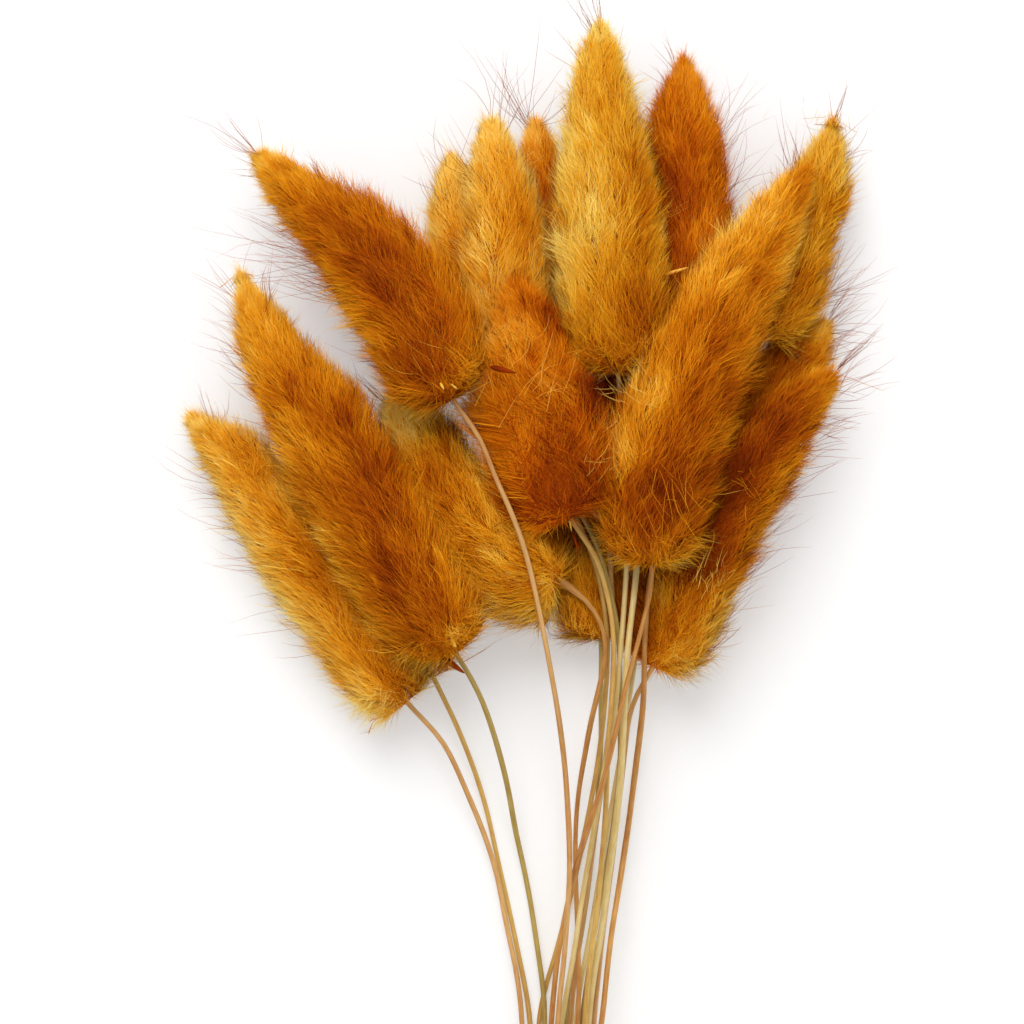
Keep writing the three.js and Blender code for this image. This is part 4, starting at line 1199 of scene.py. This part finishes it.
class BUNNY_OT_heads(bpy.types.Operator):
    """Cover every seed head with fur and bristles"""

    bl_idname = "bunny.heads"
    bl_label = "Seed heads"

    def execute(self, context):
        settings = context.scene.bunny_fur
        template = strand_template()
        materials = {}
        lying = StemsOver(context.scene.bunny_stems.step)
        for index, (name, spec) in enumerate(HEADS.items()):
            rng = np.random.default_rng(HEAD_SEED + index)
            form = HeadForm("head_" + name, spec)
            few = 1.0
            area = spec["width"] * form.length / MM * spec["full"] * few
            tufts = Tufts(form, settings, spec.get("wild", 1.0), rng)
            drift = Drift(form, rng, BLOTCHES, BLOTCH_SIZE)
            stems = lying.over(name, form, spec.get("clears", ()))
            shared = (tufts, drift, stems, rng)
            parts = [core(form, stems, rng),
                     coat(form, spec, settings, *shared, int(settings.coat * area), template),
                     underfur(form, spec, settings, *shared, int(settings.down * area)),
                     locks(form, spec, settings, drift, stems, rng, template),
                     bristles(form, spec, settings, rng)] + husks_and_shade_fill(form, spec)
            fur = build_mesh("fur_" + name, parts)
            finish = slot_of("head_" + name)
            if finish not in materials:
                materials[finish] = fur_material(finish, FUR_TINTS[finish])
            fur.data.materials.append(materials[finish])
            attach(fur, "root")
            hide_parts("head_" + name)
        return {"FINISHED"}


def slot_of(node):
    """The record's finish for a node."""
    return next(part["material_slot"] for part in frame["record"]["subparts"] if part["node"] == node)


def stem_line(name, step):
    """The middle line and radius of a stem's solid, cut across at even steps."""
    node = bpy.data.objects[name]
    points = np.array([node.matrix_world @ v.co for v in node.data.vertices])
    edges = np.array([tuple(e.vertices) for e in node.data.edges])
    a, b = points[edges[:, 0]], points[edges[:, 1]]
    low, high = points[:, 1].min(), points[:, 1].max()
    cuts = np.linspace(low + STRAW_ENDS[0], high - STRAW_ENDS[1], int((high - low) / step))
    line = []
    for y in cuts:
        over = (a[:, 1] - y) * (b[:, 1] - y) < 0
        share = ((y - a[over, 1]) / (b[over, 1] - a[over, 1]))[:, None]
        ring = a[over] + (b[over] - a[over]) * share
        middle = (ring.min(axis=0) + ring.max(axis=0)) / 2
        line.append((*middle, (ring[:, 2].max() - ring[:, 2].min()) / 2))
    line = np.array(line)
    for _ in range(3):
        line[1:-1] = (line[:-2] + 2 * line[1:-1] + line[2:]) / 4
    return line


class BUNNY_OT_stems(bpy.types.Operator):
    """Round off the straw stems"""

    bl_idname = "bunny.stems"
    bl_label = "Stems"

    def execute(self, context):
        settings = context.scene.bunny_stems
        materials = {}
        for index, (name, tones) in enumerate(STEM_STRAW.items()):
            rng = np.random.default_rng(STEM_SEED + index)
            line = stem_line("stem_" + name, settings.step)
            deselect()
            curve = bpy.data.curves.new("stem", "CURVE")
            curve.dimensions = "3D"
            curve.bevel_depth, curve.bevel_resolution, curve.use_fill_caps = 1.0, 3, True
            track = curve.splines.new("POLY")
            track.points.add(len(line) - 1)
            waves = np.convolve(rng.normal(0, 1, len(line) + 8), np.ones(9) / 3, "valid")
            swell = 1 + settings.swell * waves
            for point, (x, y, z, radius), grow in zip(track.points, line, swell):
                point.co = (x, y, z, 1)
                point.radius = radius * STRAW_SIZE * grow
            made = bpy.data.objects.new("straw_" + name, curve)
            context.scene.collection.objects.link(made)
            made.select_set(True)
            context.view_layer.objects.active = made
            bpy.ops.object.convert(target="MESH")
            made = context.object
            made.name = "straw_" + name
            mesh = made.data
            for layer in list(mesh.uv_layers):
                mesh.uv_layers.remove(layer)
            co = np.array([v.co for v in mesh.vertices])
            x = np.interp(co[:, 1], line[:, 1], line[:, 0])
            z = np.interp(co[:, 1], line[:, 1], line[:, 2])
            around = np.arctan2(co[:, 0] - x, co[:, 2] - z) / (2 * math.pi) + 0.5
            loops = np.array([loop.vertex_index for loop in mesh.loops])
            uv = np.stack([around[loops], co[loops, 1] * STRAW_RUN + index], axis=1)
            for face in mesh.polygons:
                own = uv[list(face.loop_indices), 0]
                if own.max() - own.min() > 0.5:
                    uv[list(face.loop_indices), 0] = np.where(own < 0.5, own + 1, own)
            layer = mesh.uv_layers.new(name="stem")
            layer.data.foreach_set("uv", uv.astype(np.float32).ravel())
            mesh.polygons.foreach_set("use_smooth", np.ones(len(mesh.polygons), bool))
            if tones not in materials:
                materials[tones] = straw_material("straw_" + tones, STRAW_TONES[tones])
            mesh.materials.clear()
            mesh.materials.append(materials[tones])
            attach(made, "root")
            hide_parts("stem_" + name)
            slot_of("stem_" + name)
        return {"FINISHED"}


class BUNNY_OT_stage(bpy.types.Operator):
    """Set the white table, the soft light and the camera over the bunch"""

    bl_idname = "bunny.stage"
    bl_label = "Stage"

    def execute(self, context):
        settings = context.scene.bunny_stage
        scene = context.scene
        deselect()
        bpy.ops.mesh.primitive_plane_add(size=TABLE_SIZE, location=(0, 0, TABLE_HEIGHT))
        table = context.object
        table.name = "table"
        shader = Shader("table")
        coordinates = shader.node("ShaderNodeTexCoord", output=3)
        grain = shader.node("ShaderNodeTexNoise", inputs={"Vector": coordinates, "Scale": TABLE_GRAIN})
        shade = tuple(settings.floor) + (1.0,)
        darker = tuple(c * 0.985 for c in settings.floor) + (1.0,)
        shader.feed("Base Color", shader.mix(grain, shade, darker))
        shader.feed("Roughness", 0.8)
        shader.feed("Specular IOR Level", 0.1)
        shader.feed("Emission Color", WHITE)
        shader.feed("Emission Strength", settings.glow)
        table.data.materials.append(shader.material)

        world = bpy.data.worlds.new("soft_light")
        world.use_nodes = True
        background = world.node_tree.nodes["Background"]
        background.inputs["Color"].default_value = WHITE
        background.inputs["Strength"].default_value = settings.sky
        scene.world = world
        middle = Vector((*VIEW_MIDDLE, 0))
        lamp = bpy.data.lights.new("key", "AREA")
        lamp.shape, lamp.size, lamp.energy = "DISK", LAMP_SIZE, settings.key
        lit = bpy.data.objects.new("key", lamp)
        lit.location = middle + Vector(LAMP_FROM)
        lit.rotation_euler = (middle - lit.location).to_track_quat("-Z", "Y").to_euler()
        scene.collection.objects.link(lit)

        lens = bpy.data.cameras.new("camera")
        lens.lens, lens.sensor_width, lens.sensor_fit = settings.lens, SENSOR, "AUTO"
        lens.dof.use_dof = False
        camera = bpy.data.objects.new("camera", lens)
        distance = VIEW_WIDTH * settings.lens / SENSOR
        camera.location = middle + Vector((0, 0, distance + TRUE_LEVEL))
        camera.rotation_euler = (0, 0, 0)
        scene.collection.objects.link(camera)
        scene.camera = camera
        scene.view_settings.view_transform = "Standard"
        return {"FINISHED"}


class BUNNY_PT_panel(bpy.types.Panel):
    """Lists the steps that dress the bunch"""

    bl_label = "Bunny Tails"
    bl_idname = "BUNNY_PT_panel"
    bl_space_type = "VIEW_3D"
    bl_region_type = "UI"
    bl_category = "Bunny Tails"

    def draw(self, context):
        for group, operator in (("bunny_fur", BUNNY_OT_heads), ("bunny_stems", BUNNY_OT_stems),
                                ("bunny_stage", BUNNY_OT_stage)):
            box = self.layout.box()
            settings = getattr(context.scene, group)
            for key in settings.__annotations__:
                box.prop(settings, key)
            box.operator(operator.bl_idname)


CLASSES = (FurSettings, StemSettings, StageSettings, BUNNY_OT_heads, BUNNY_OT_stems,
           BUNNY_OT_stage, BUNNY_PT_panel)


def register():
    for item in CLASSES:
        bpy.utils.register_class(item)
    bpy.types.Scene.bunny_fur = bpy.props.PointerProperty(type=FurSettings)
    bpy.types.Scene.bunny_stems = bpy.props.PointerProperty(type=StemSettings)
    bpy.types.Scene.bunny_stage = bpy.props.PointerProperty(type=StageSettings)


def unregister():
    del bpy.types.Scene.bunny_fur
    del bpy.types.Scene.bunny_stems
    del bpy.types.Scene.bunny_stage
    for item in reversed(CLASSES):
        bpy.utils.unregister_class(item)


def main():
    register()
    bpy.ops.bunny.stage()
    bpy.ops.bunny.heads()
    bpy.ops.bunny.stems()


if __name__ == "__main__":
    main()
